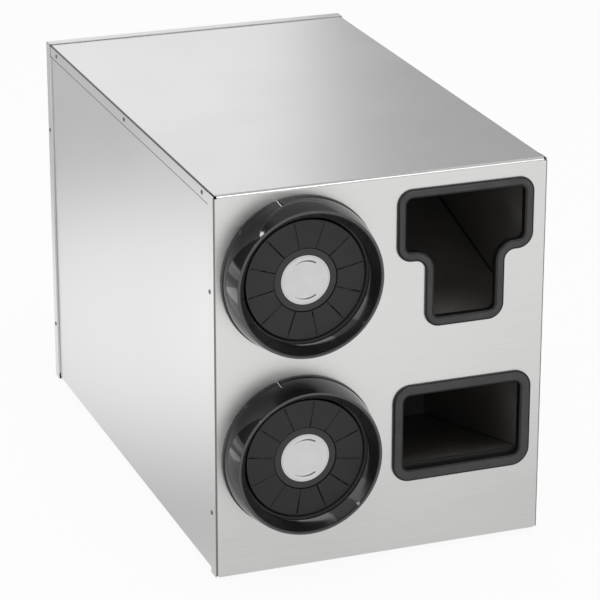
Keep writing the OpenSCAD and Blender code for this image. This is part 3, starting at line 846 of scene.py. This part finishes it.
@dataclass
class Cabinet:
    """The folded stainless body with its rivets, feet and foot screws."""

    half_w: float = 193.7
    depth: float = 635.0
    height: float = 444.5
    sheet: float = 1.0
    bend_r: float = 2.2
    cover_gap: float = 0.3
    top_flange: float = 14.0
    rear_flange: float = 13.0
    front_rivet_inset: float = 14.0
    side_rivets: Pair = (74.0, 333.0)
    top_rivet_inset: float = 40.0
    rivet_r: float = 2.7
    rivet_h: float = 1.0
    foot_inset: float = 32.0
    foot_r: float = 12.5
    foot_recess: float = 3.4
    foot_screw_r: float = 2.0
    foot_screw_top: float = 12.7

    def rivet(self) -> Shape:
        """Makes one pop rivet's head.

        Returns:
            The head on z = 0, with the dimple of its broken pin.
        """
        r, high, pin = self.rivet_r, self.rivet_h, self.rivet_r * 0.33
        head = [(r, -0.05, 0), (r, 0.25, 0.15), (r * 0.66, high * 0.86, 0.9)]
        head += [(pin + 0.1, high, 0.2), (pin, high * 0.45, 0.1), (0.0, high * 0.6, 0)]
        return lathe(rounded(head, 4), even_turn(20))

    def rivets(self, name: str, head_x: float, spots: Sequence[Pair], finish: Material) -> None:
        """Sets a row of rivet heads on both sides.

        Args:
            name: The CAD node that they stand for.
            head_x: Distance of the heads' seats from the middle.
            spots: Their places as (distance behind the face, height above the body's bottom).
            finish: Their finish.
        """
        heads, head = Shape(), self.rivet()
        for side in (-1, 1):
            for y, z in spots:
                at = (FACE_Y + y, FOOT_H + z)
                heads.join(
                    head,
                    lambda p, s=side, a=at: (s * (head_x + p[2]), a[0] + s * p[0], a[1] + p[1]),
                )
        adopt(heads.to_object(name + "_heads", finish), CABINET, name, "rivet")

    def foot(self) -> Shape:
        """Makes one foot.

        Returns:
            The foot, open for its screw, with a turned-in sole.
        """
        r, top, seat = self.foot_r, FOOT_H + self.sheet, self.foot_recess
        hole, bore = self.foot_screw_r * 2 + 1, self.foot_screw_r + 0.1
        foot = [(hole, seat, 0), (hole, 0.5, 0.4), (hole + 1.2, 0, 0.4), (r - 2.6, 0, 0.5)]
        foot += [(r - 1.5, 0.7, 0.6), (r - 0.2, top * 0.62, 0.8), (r, top - 0.6, 0.4)]
        foot += [(r - 0.5, top, 0), (bore, top, 0), (bore, seat, 0)]
        return lathe(rounded(foot), even_turn(48), closed=True)

    def foot_screw(self) -> Shape:
        """Makes one foot's screw.

        Returns:
            The screw, with a six-sided socket in its head.
        """
        shank, top, seat = self.foot_screw_r, self.foot_screw_top, self.foot_recess
        head_r, head_z, socket = shank * 2, seat - shank * 1.4, shank * 0.8
        screw = [(0.0, head_z + 1.7, 0), (socket, head_z + 1.5, 0), (socket, head_z + 0.2, 0)]
        screw += [(socket + 0.15, head_z, 0.1), (head_r * 0.8, head_z, 0.8)]
        screw += [(head_r, seat - 1.3, 0.4), (head_r, seat, 0), (shank, seat, 0)]
        screw += [(shank, top - 0.5, 0), (shank - 0.5, top, 0), (0.0, top, 0)]

        def six_sided(row: int, col: int, r: float, z: float, a: float) -> Point:
            """Makes the socket's wall six-sided."""
            in_socket = r <= socket + 0.01 and z < head_z + 1.6
            return (r / math.cos(a % (math.pi / 3) - math.pi / 6) if in_socket else r, z, a)

        return lathe(rounded(screw), even_turn(24), six_sided)

    def feet(self, rubber: Material, plated: Material) -> None:
        """Sets the four feet and the screws in them.

        Args:
            rubber: The feet's finish.
            plated: The screws' finish.
        """
        soles, screws = Shape(), Shape()
        pairs = ((soles, self.foot()), (screws, self.foot_screw()))
        for x in (self.foot_inset - self.half_w, self.half_w - self.foot_inset):
            for y in (FACE_Y + self.foot_inset, FACE_Y + self.depth - self.foot_inset):
                for target, shape in pairs:
                    target.join(shape, lambda p, x=x, y=y: (p[0] + x, p[1] + y, p[2]))
        adopt(soles.to_object("feet_soles", rubber), CABINET, "feet", "foot_rubber")
        heads = screws.to_object("foot_screw_heads", plated)
        adopt(heads, CABINET, "foot_screws", "plated_steel")

    def build(self) -> None:
        """Dresses the sheets and makes the small hardware."""
        warm, cool = (0.8, 0.795, 0.784), (0.8, 0.8, 0.803)
        # face_bend and top_bend place the painted shade along the bends, and lap places the painted
        # shadow line below the top's flange.
        top_z, bend_x = FOOT_H + self.height, self.half_w - self.bend_r
        face_bend = (bend_x, "Y", FACE_Y + self.bend_r)
        top_bend = (bend_x - self.sheet, "Z", top_z - self.bend_r)
        lap = top_z - self.top_flange
        deep = {"grain": Grain.DEPTH, "brush": 0.03}
        for node, finish in {
            "front_panel": BrushedSteel("steel_brushed_front", warm, 0.34, bend=face_bend),
            "rear_cover": BrushedSteel("steel_brushed_level", warm, 0.335),
            "body_wrap": BrushedSteel(
                "steel_brushed_side", cool, 0.289, contrast=0.008, streak=0.007, lap_z=lap, **deep
            ),
            "top_panel": BrushedSteel(
                "steel_brushed_top", cool, 0.292, contrast=0.012, streak=0.01, bend=top_bend, **deep
            ),
        }.items():
            dress(node, finish.make())
        plated = Speckled("zinc_plate", (0.55, 0.56, 0.55), 0.38, (700.0, 3.0, 0.6)).make()
        dress("foot_nuts", plated)
        # Painted shade: the rivet heads are coloured dark to stand in for the shade round them.
        plain = Speckled("rivet_alloy", (0.2, 0.2, 0.2), 0.36).make()
        under_x = self.half_w - self.sheet
        rivet_z = self.height - self.top_flange / 2 - self.sheet / 2
        rear_y = self.depth - self.rear_flange / 2
        tops = (self.top_rivet_inset, self.depth / 2, self.depth - self.top_rivet_inset)
        fronts = [(self.front_rivet_inset, z) for z in self.side_rivets]
        rears = [(rear_y, z) for z in self.side_rivets]
        self.rivets("top_rivets", under_x, [(y, rivet_z) for y in tops], plain)
        self.rivets("front_rivets", self.half_w, fronts, plain)
        self.rivets("rear_rivets", under_x + self.cover_gap + self.sheet, rears, plain)
        self.feet(Rubber("foot_rubber_black", (0.022, 0.022, 0.023), 0.75).make(), plated)


@dataclass
class FrontOpenings:
    """The T-shaped lid slot and the bin opening, with their trims and chutes."""

    column_x: float = 96.85
    lid_z: float = 345.7
    bin_z: float = 140.7
    lid_size: float = 162.0
    lid_bar_h: float = 83.0
    lid_stem_w: float = 94.5
    lid_trim_w: float = 10.5
    lid_corner_r: float = 18.0
    lid_fillet_r: float = 12.0
    bin_w: float = 166.8
    bin_h: float = 115.6
    bin_trim_w: float = 12.8
    bin_corner_r: float = 21.0
    trim_out: float = 3.0
    lip_w: float = 1.2
    trim_depth: float = 7.0
    sleeve: float = 1.8
    lid_chute_w: float = 150.0
    bin_chute_w: float = 151.4

    def band(self, width: float) -> list[Pair]:
        """Draws a trim's section.

        Args:
            width: Its width.

        Returns:
            A crowned band between two thin lips, and its sleeve.
        """
        out, lip, deep, inner = self.trim_out, self.lip_w, -self.trim_depth, width - self.sleeve
        band = [(0.0, 0.0, 0), (0.0, out * 0.55, 0.35), (lip, out * 0.62, 0.2)]
        band += [(lip + 0.35, out * 0.5, 0.2), (lip + 1.2, out * 0.94, 0.9)]
        band += [(width * 0.5, out, 3.0), (width - lip - 1.2, out * 0.94, 0.9)]
        band += [(width - lip - 0.35, out * 0.55, 0.2), (width - lip * 0.6, out * 0.66, 0.25)]
        band += [(width, out * 0.4, 0.3), (width, deep, 0), (inner, deep, 0), (inner, 0.0, 0)]
        return rounded(band, 4)

    def lid_path(self) -> Path:
        """Draws the T.

        Returns:
            Its outer edge round its middle.
        """
        half, bar, stem = self.lid_size / 2, self.lid_size / 2 - self.lid_bar_h, self.lid_stem_w / 2
        corner, fillet = self.lid_corner_r, self.lid_fillet_r
        edge = [(-stem, -half, corner), (stem, -half, corner), (stem, bar, fillet)]
        edge += [(half, bar, corner), (half, half, corner), (-half, half, corner)]
        return outline(edge + [(-half, bar, corner), (-stem, bar, fillet)])

    def bin_path(self) -> Path:
        """Returns the lower trim's outer edge round its middle."""
        x, z, r = self.bin_w / 2, self.bin_h / 2, self.bin_corner_r
        return outline([(-x, -z, r), (x, -z, r), (x, z, r), (-x, z, r)])

    def build(self) -> None:
        """Makes both trims and dresses the chutes."""
        trim = TrimRubber("trim_grey_rubber", (0.046, 0.046, 0.047), 0.46).make()
        for name, path, width, mid_z in (
            ("lid_slot_trim", self.lid_path(), self.lid_trim_w, self.lid_z),
            ("bin_trim", self.bin_path(), self.bin_trim_w, self.bin_z),
        ):
            made = sweep(path, self.band(width)).to_object(
                name + "_moulding",
                trim,
                lambda p, z=mid_z: (p[0] + self.column_x, p[1] + FACE_Y, p[2] + z + FOOT_H),
                28.0,
            )
            adopt(made, CABINET, name, "trim")
        paint = (0.118, 0.11, 0.1)
        for node, width in (("lid_chute", self.lid_chute_w), ("lower_bin", self.bin_chute_w)):
            # The floor's corner with the right wall, where the paint's painted shade runs.
            corner = self.column_x + width / 2
            dress(node, PaintedSheet(node + "_paint", paint, 0.42, corner_x=corner).make())


@dataclass
class Dispenser:
    """One cup dispenser: collar, leaves, follower with its label, tube, spring and clamps."""

    row: Row
    axis_z: float
    phase: float
    column_x: float = -96.85
    bead_r: float = 89.5
    skirt_r: float = 88.2
    lip_r: float = 83.6
    mouth_r: float = 79.6
    cone_r: float = 71.7
    out: float = 38.0
    lip_crown: float = 1.2
    bead_low: float = 0.8
    skirt_low: float = 4.4
    skirt_curve: float = 1.8
    cone_low: float = 24.2
    cone_curve: float = 0.9
    foot_z: float = 22.4
    wall: float = 2.0
    bell_steps: int = 26
    bell_sides: int = 224
    keeper_r: float = 83.7
    slit_angle: float = 106.5
    slit_w: float = 3.4
    slit_rib_w: float = 1.0
    slit_z: float = 13.3
    slit_floor_r: float = 86.3
    disc_r: float = 68.2
    disc_z: float = 20.0
    disc_t: float = 3.0
    hub_r: float = 36.0
    hub_depth: float = 0.9
    label_r: float = 27.8
    label_t: float = 0.4
    label_sides: int = 96
    lines: int = 12
    line_depth: float = 0.6
    tube_r: float = 70.5
    stop_z: float = -1.3
    travel: float = 420.0
    spring_r: float = 56.0
    wire_r: float = 1.5
    wire_sides: int = 10
    turns: int = 14
    flat_turns: int = 1
    coil_steps: int = 40
    spring_front: float = 14.3
    spring_back: float = -554.2

    def place(self, p: Point) -> Point:
        """Moves a point from the dispenser's own axes to the part's frame, in millimetres."""
        return (p[0] + self.column_x, FACE_Y - p[2], p[1] + self.axis_z + FOOT_H)

    def node(self, part: str) -> str:
        """Returns the name of one of this dispenser's nodes or bodies."""
        return f"{self.row.value}_{part}"

    @property
    def high(self) -> float:
        """The height at which the lip begins over the skirt and the inner cone."""
        return self.out - self.lip_crown

    def skirt_at(self, z: float) -> float:
        """Returns the skirt's radius at a height."""
        share = (z - self.skirt_low) / (self.high - self.skirt_low)
        return self.skirt_r - (self.skirt_r - self.lip_r) * share**self.skirt_curve

    def cone_at(self, z: float) -> float:
        """Returns the inner cone's radius at a height."""
        share = (z - self.cone_low) / (self.high - self.cone_low)
        return self.cone_r + (self.mouth_r - self.cone_r) * share**self.cone_curve

    def collar(self) -> Shape:
        """Turns the bell-shaped collar.

        Returns:
            The collar, with its lip and the index slit in its skirt.
        """
        high, out, start, keeper = self.high, self.out, self.skirt_low, self.keeper_r
        bead, bead_in, low, mouth = self.bead_r, self.bead_r - 2.6, self.bead_low, self.mouth_r
        steps = self.bell_steps
        heights = [start + (high - start) * k / steps for k in range(steps + 1)]
        under = [z for z in heights if z < self.slit_z]
        skirt = under + [self.slit_z] * 2 + [z for z in heights if z > self.slit_z]
        cone = [high + (self.cone_low - high) * k / 18 for k in range(19)]
        foot = [(bead_in, low, 0), (bead, low, 0.5), (bead, low + 2.7, 0.7)]
        foot += [(self.skirt_r + 0.15, start - 0.5, 0.4), (self.skirt_r, start, 0)]
        lip = [(self.lip_r, high, 0), (self.lip_r - 0.3, out, 1.0), (mouth + 1.9, out, 0.8)]
        lip += [(mouth + 0.9, out - 0.45, 0.3), (mouth + 0.35, out - 0.5, 0.25), (mouth, high, 0)]
        profile = rounded(foot)
        cut_rows = len(profile) - 1 + len(under)
        profile += [(self.skirt_at(z), z) for z in skirt[1:]] + rounded(lip)[1:]
        profile += [(self.cone_at(z), z) for z in cone[1:]]
        cone_r, foot_z, roof = self.cone_r, self.foot_z, out - 4
        profile += [(cone_r, foot_z), (cone_r + 1.4, foot_z), (cone_r + 1.5, self.cone_low + 0.4)]
        profile += [(self.cone_at(roof) + 1.4, roof), (self.skirt_at(roof) - self.wall, roof)]
        profile += [(keeper + 1.6, foot_z), (self.skirt_at(10.0) - self.wall, 10.0)]
        profile += [(keeper + 0.4, 8.0), (keeper, 7.6), (keeper, 4.6), (bead_in, 4.6)]
        middle, half, rib = math.radians(self.slit_angle), self.slit_w / 2, self.slit_rib_w / 2
        edges = [middle + across / self.skirt_r for across in (-half, -rib, rib, half)]
        clear = half * 1.5 / self.skirt_r
        turn = [a for a in even_turn(self.bell_sides) if abs(a - middle) > clear]
        angles = sorted(turn + edges * 2)
        first = angles.index(edges[0])
        inside = (first + 1, first + 2, first + 5, first + 6)

        def cut(row: int, col: int, r: float, z: float, a: float) -> Point:
            """Sinks the slit's columns, beside its rib, up to its end."""
            return (min(r, self.slit_floor_r) if col in inside and row <= cut_rows else r, z, a)

        return lathe(profile, angles, cut, True)

    def follower(self) -> Shape:
        """Turns the pusher disc.

        Returns:
            The disc, with its pressed lines, hub and rear skirt.
        """
        z, hub, edge, stop = self.disc_z, self.hub_r, self.disc_r, self.stop_z
        hub_z, flange = z - self.hub_depth, self.tube_r - 0.4
        back = hub_z - self.disc_t
        start, end = hub + 1.4, edge - 2.2
        rows = [start, hub + 2.2, 45.0, 54.0, 62.0, edge - 3.0, end, edge - 1.5]
        profile: list[Pair] = [(0.0, hub_z), (12.0, hub_z), (24.0, hub_z)]
        profile += rounded(
            [(30.0, hub_z, 0), (hub, hub_z, 0.35), (hub + 0.15, z, 0.4), (hub + 0.7, z, 0)]
        )
        profile += [(r, z) for r in rows]
        rim = [(edge - 1.2, z, 0), (edge, z - 0.15, 0.8), (edge, stop, 0), (flange, stop, 0)]
        rim += [(flange, stop - 3, 0), (edge - 2, stop - 3, 0), (edge - 2, back, 0.8)]
        profile += rounded(rim + [(20.0, back, 0), (0.0, back, 0)])
        offsets = (-1.2, -0.8, -0.62, -0.42, 0.42, 0.62, 0.8, 1.2)
        depths = (0.0, 0.02, 0.35, 1.0, 1.0, 0.35, 0.02, 0.0)
        pitch = 2 * math.pi / self.lines
        columns: list[tuple[float, float, float]] = []
        for i in range(self.lines):
            line = math.pi / 2 - math.radians(self.phase) + i * pitch
            columns += [(line, side, self.line_depth * d) for side, d in zip(offsets, depths)]
            columns += [(line + pitch * (0.18 + 0.16 * k), 0.0, 0.0) for k in range(5)]

        def press(row: int, col: int, r: float, height: float, a: float) -> Point:
            """Spreads the columns of a line to an even width and presses it in."""
            sunk = columns[col][2] if height > z - 0.01 and start <= r <= end else 0.0
            return (r, height - sunk, a + math.atan2(columns[col][1], max(r, 4.0)))

        return lathe(profile[::-1], [column[0] for column in columns], press)

    def label(self) -> Shape:
        """Turns the round label.

        Returns:
            The label, with a rolled edge.
        """
        base, r = self.disc_z - self.hub_depth, self.label_r
        face = base + self.label_t
        profile = [(r, base + 0.02, 0), (r, face, 0.25), (18.0, face, 0), (0.0, face, 0)]
        return lathe(rounded(profile), even_turn(self.label_sides))

    def spring(self) -> Shape:
        """Winds the follower's spring.

        Returns:
            The coil at rest, with flat ends.
        """
        steps, sides, ends = self.coil_steps, self.wire_sides, self.flat_turns
        shape, rings = Shape(), self.turns * steps
        for k in range(rings + 1):
            turn = k / steps
            run = min(max((turn - ends) / (self.turns - 2 * ends), 0.0), 1.0)
            height = self.spring_front + (self.spring_back - self.spring_front) * run
            inner = max(0.0, ends - turn) + max(0.0, turn - self.turns + ends)
            coil = self.spring_r - 2.4 * self.wire_r * inner
            a = 2 * math.pi * turn
            for lean in even_turn(sides):
                r, z = coil + self.wire_r * math.cos(lean), height + self.wire_r * math.sin(lean)
                shape.points.append((r * math.cos(a), r * math.sin(a), z))
        rows = [range(k, k + sides) for k in range(0, len(shape.points), sides)]
        shape.skin(rows)
        shape.faces += [tuple(rows[0]), tuple(reversed(rows[-1]))]
        return shape

    def shorten(self, made: bpy.types.Object) -> None:
        """Gives the spring a mesh of its own; the point at its back end is worked out but not used.

        Args:
            made: The spring.
        """
        anchor = self.place((0.0, 0.0, self.spring_back - self.wire_r))
        tuple(part * MM for part in anchor)
        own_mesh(made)

    def build(self, finishes: Mapping[str, Material]) -> None:
        """Makes this dispenser's pieces and dresses the others.

        Args:
            finishes: Shared finishes by name.
        """
        gloss = CollarGloss(
            self.node("collar_polish"),
            (0.01, 0.01, 0.0105),
            0.075,
            centre=self.place(ORIGIN),
            lip_out=self.out,
            slit_angle=self.slit_angle,
            slit_end=self.slit_z,
        )
        face = self.place((0.0, 0.0, self.disc_z))
        disc = DiscPlastic(self.node("disc_plastic"), (0.009, 0.009, 0.0093), 0.33, centre=face)
        stock = LabelStock(self.node("label_stock"), grey(0.84), 0.42, centre=face)
        collar, pusher = self.node("collar"), self.node("follower")
        for name, shape, finish, crease, body, node, slot in (
            ("collar_bell", self.collar(), gloss, 32.0, collar, "collar", "collar_gloss"),
            ("follower_disc", self.follower(), disc, 24.0, pusher, "follower", "follower_plastic"),
            ("label_disc", self.label(), stock, 32.0, pusher, "follower_label", "label"),
        ):
            made = shape.to_object(self.node(name), finish.make(), self.place, crease)
            adopt(made, body, self.node(node), slot)
        coil = self.spring().to_object(self.node("spring_coil"), finishes["wire"], self.place, 60.0)
        adopt(coil, CABINET, self.node("follower_spring"), "spring_steel")
        self.shorten(coil)
        for part, finish in (
            ("mounting_ring", "ring"),
            ("tube_end_cap", "ring"),
            ("tube", "tube"),
            ("clamp_ring", "plated"),
            ("clamp_screws", "plated"),
            ("cam_ring", "leaf"),
            *((f"leaf_{i}", "leaf") for i in range(1, 7)),
        ):
            dress(self.node(part), finishes[finish])


def shared_finishes() -> dict[str, Material]:
    """Returns the finishes that both dispensers use, by name."""
    plate, wire = (800.0, 3.0, 0.6), (1500.0, 3.0, 0.6)
    return {
        # Painted light: the ring's and the leaves' colours are raised so that the shaded gap round
        # the disc shows dark grey.
        "ring": MouldedPlastic("ring_grey", (0.06, 0.06, 0.061), 0.38, 0.6).make(),
        "leaf": MouldedPlastic("leaf_satin_black", (0.045, 0.045, 0.046), 0.3, 0.4).make(),
        "tube": TubeStock("tube_natural_white", (0.72, 0.73, 0.735), 0.4).make(),
        "plated": Speckled("clamp_zinc_plate", (0.56, 0.57, 0.56), 0.36, plate).make(),
        "wire": Speckled("spring_drawn_wire", (0.5, 0.5, 0.49), 0.26, wire).make(),
    }


@dataclass(frozen=True)
class Lamp:
    """One soft rectangular lamp."""

    name: str
    at: Point
    aim: Point
    size: Pair
    power: float

    def hang(self) -> None:
        """Adds the lamp to the scene."""
        data = bpy.data.lights.new(self.name, "AREA")
        data.shape = "RECTANGLE"
        data.size, data.size_y = self.size
        data.energy = self.power
        lamp = bpy.data.objects.new(self.name, data)
        bpy.context.scene.collection.objects.link(lamp)
        lamp.location = self.at
        lamp.visible_camera = False
        beam = Vector(self.aim) - Vector(self.at)
        lamp.rotation_euler = beam.to_track_quat("-Z", "Y").to_euler()


@dataclass
class Studio:
    """Pale floor, plain soft light and the camera at the photograph's angle.

    Lengths are in metres. Each level is a brightness, and each zone says between which values
    of a coordinate it begins or ends.
    """

    sensor: float = 36.0
    lens_px: float = 2990.4
    image_px: float = 600.0
    eye: Point = (-1.15206, -3.12101, 1.45951)
    yaw: float = 0.358066
    pitch: float = 0.360964
    roll: float = 0.001276
    diffuse_level: float = 0.59
    behind_level: float = 0.4
    corner_level: float = 0.05
    opposite_level: float = 0.45
    gloss_world: float = 0.9
    behind_y: Pair = (0.0, 0.7)
    behind_z: Pair = (0.0, 0.05)
    behind_left_x: Pair = (-0.42, -0.2)
    before_y: Pair = (-0.75, -0.45)
    before_x: Pair = (-0.22, 0.0)
    opposite_y: Pair = (-0.4, -0.1)
    opposite_x: Pair = (-0.1, 0.3)
    above_z: Pair = (0.02, 0.12)
    floor_half: float = 9.0
    floor_shade: Pair = (0.8, 0.82)
    camera_white: float = 0.92
    gloss_white: float = 0.95
    pool_at: Point = (-0.58, 0.5, 0.0)
    pool_reach: Pair = (0.25, 0.8)
    pool_y: Pair = (-0.35, -0.05)
    dim: float = 0.45
    front_dim: float = 0.31
    front_y: Pair = (-0.9, -0.42)
    right_dim: float = 0.13
    right_x: Pair = (0.05, 0.6)
    lamps: tuple[Lamp, ...] = (
        Lamp("overhead", (0.2, -0.5, 2.6), (0.0, 0.0, 0.3), (1.8, 1.8), 20.0),
        Lamp("front_left", (-2.6, -0.95, 1.5), (0.0, 0.0, 0.25), (1.9, 1.6), 11.0),
        Lamp("left_floor", (-0.86, 0.3, 0.01), (-0.86, 0.3, 1.0), (0.5, 0.42), 0.75),
        Lamp("left_card", (-2.0, 1.5, 0.22), (0.0, 0.0, 0.22), (1.9, 0.44), 2.0),
        Lamp("upper_left", (-1.75, -0.32, 1.62), (-0.1, -0.3, 0.25), (0.13, 0.13), 2.4),
        Lamp("rear_left", (-1.24, 0.89, 1.75), (-0.1, -0.3, 0.25), (0.16, 0.16), 0.9),
        Lamp("front_right", (2.4, -2.2, 1.4), (0.0, -0.1, 0.2), (2.4, 1.8), 8.0),
        Lamp("back_card", (0.075, 2.3, 1.35), (0.0, 0.0, 0.4), (1.72, 1.1), 3.9),
    )

    def camera(self) -> None:
        """Sets the camera, without any shift."""
        data = bpy.data.cameras.new("camera")
        data.sensor_width = self.sensor
        data.lens = self.lens_px * self.sensor / self.image_px
        data.clip_end = 60.0
        eye = bpy.data.objects.new("camera", data)
        bpy.context.scene.collection.objects.link(eye)
        turn = Matrix.Rotation(-self.yaw, 4, "Z")
        turn = turn @ Matrix.Rotation(math.pi / 2 - self.pitch, 4, "X")
        turn = turn @ Matrix.Rotation(self.roll, 4, "Z")
        eye.matrix_world = Matrix.Translation(self.eye) @ turn
        bpy.context.scene.camera = eye

    def floor(self) -> None:
        """Lays the pale floor: white, with the shadow on it, and dimmer to gloss nearby."""
        material = bpy.data.materials.new("floor_pale")
        graph = Graph(material)
        camera, gloss = graph.seen()
        pale = graph.mix(graph.noise(30.0, 3.0), *(grey(level) for level in self.floor_shade))
        sockets = {"Base Color": pale, "Roughness": 0.9, "Specular IOR Level": 0.1}
        matt = graph.add("ShaderNodeBsdfPrincipled", {}, sockets)
        ground = graph.place()
        y = graph.split(ground, "Y")
        far = graph.vector("DISTANCE", ground, self.pool_at, 1).step(*self.pool_reach)
        rear = y.step(*self.pool_y)
        near = y.step(*self.front_y) * self.front_dim
        near = near + y.other("X").step(*self.right_x) * self.right_dim
        shade = far * rear * self.dim + near * (1.0 - rear)
        glow = graph.add("ShaderNodeEmission", {}, {"Strength": 1.0 - shade * gloss})
        share = camera * self.camera_white + gloss * self.gloss_white
        graph.show(graph.add("ShaderNodeMixShader", {}, {0: share, 1: matt, 2: glow}))
        half = self.floor_half / MM
        corners = [(-half, -half, 0), (half, -half, 0), (half, half, 0), (-half, half, 0)]
        Shape(corners, [(0, 1, 2, 3)]).to_object("studio_floor", material)

    def world(self) -> None:
        """Sets an even pale world. The camera sees white, and gloss sees it darker in zones."""
        bpy.context.scene.world = bpy.data.worlds.new("studio_white")
        graph = Graph(bpy.context.scene.world)
        camera, gloss = graph.seen()
        y = graph.split(graph.place("Generated"), "Y")
        x, z, unseen = y.other("X"), y.other("Z"), 1.0 - camera
        above = z.step(*self.above_z) * unseen
        behind = y.step(*self.behind_y) * z.step(*self.behind_z) * unseen
        before = y.fall(*self.before_y) * x.fall(*self.before_x) * above
        opposite = y.fall(*self.opposite_y) * x.step(*self.opposite_x) * above
        corner, left = grey(self.corner_level), x.fall(*self.behind_left_x)
        tone = graph.mix(camera, grey(self.gloss_world), grey(1.0))
        tone = graph.mix(behind, tone, graph.mix(left, grey(self.behind_level), corner))
        tone = graph.mix(before, tone, corner)
        tone = graph.mix(opposite, tone, grey(self.opposite_level))
        shown, lit = (
            graph.add("ShaderNodeBackground", {}, {"Color": colour, "Strength": strength})
            for colour, strength in ((tone, 1.0), (grey(1.0), self.diffuse_level))
        )
        seen = camera.largest(gloss)
        graph.show(graph.add("ShaderNodeMixShader", {}, {0: seen, 1: lit, 2: shown}))

    def build(self) -> None:
        """Sets up camera, floor, world and lamps."""
        bpy.context.scene.view_settings.view_transform = "Standard"
        self.camera()
        self.floor()
        self.world()
        for lamp in self.lamps:
            lamp.hang()


def main() -> None:
    """Builds the studio, the cabinet, its openings and both dispensers."""
    logging.basicConfig(level=logging.INFO, format="%(name)s: %(message)s")
    Studio().build()
    Cabinet().build()
    FrontOpenings().build()
    finishes = shared_finishes()
    Dispenser(Row.UPPER, 345.7, 18.5).build(finishes)
    Dispenser(Row.LOWER, 138.4, 8.5).build(finishes)
    log.info("sizes written")


if __name__ == "__main__":
    main()
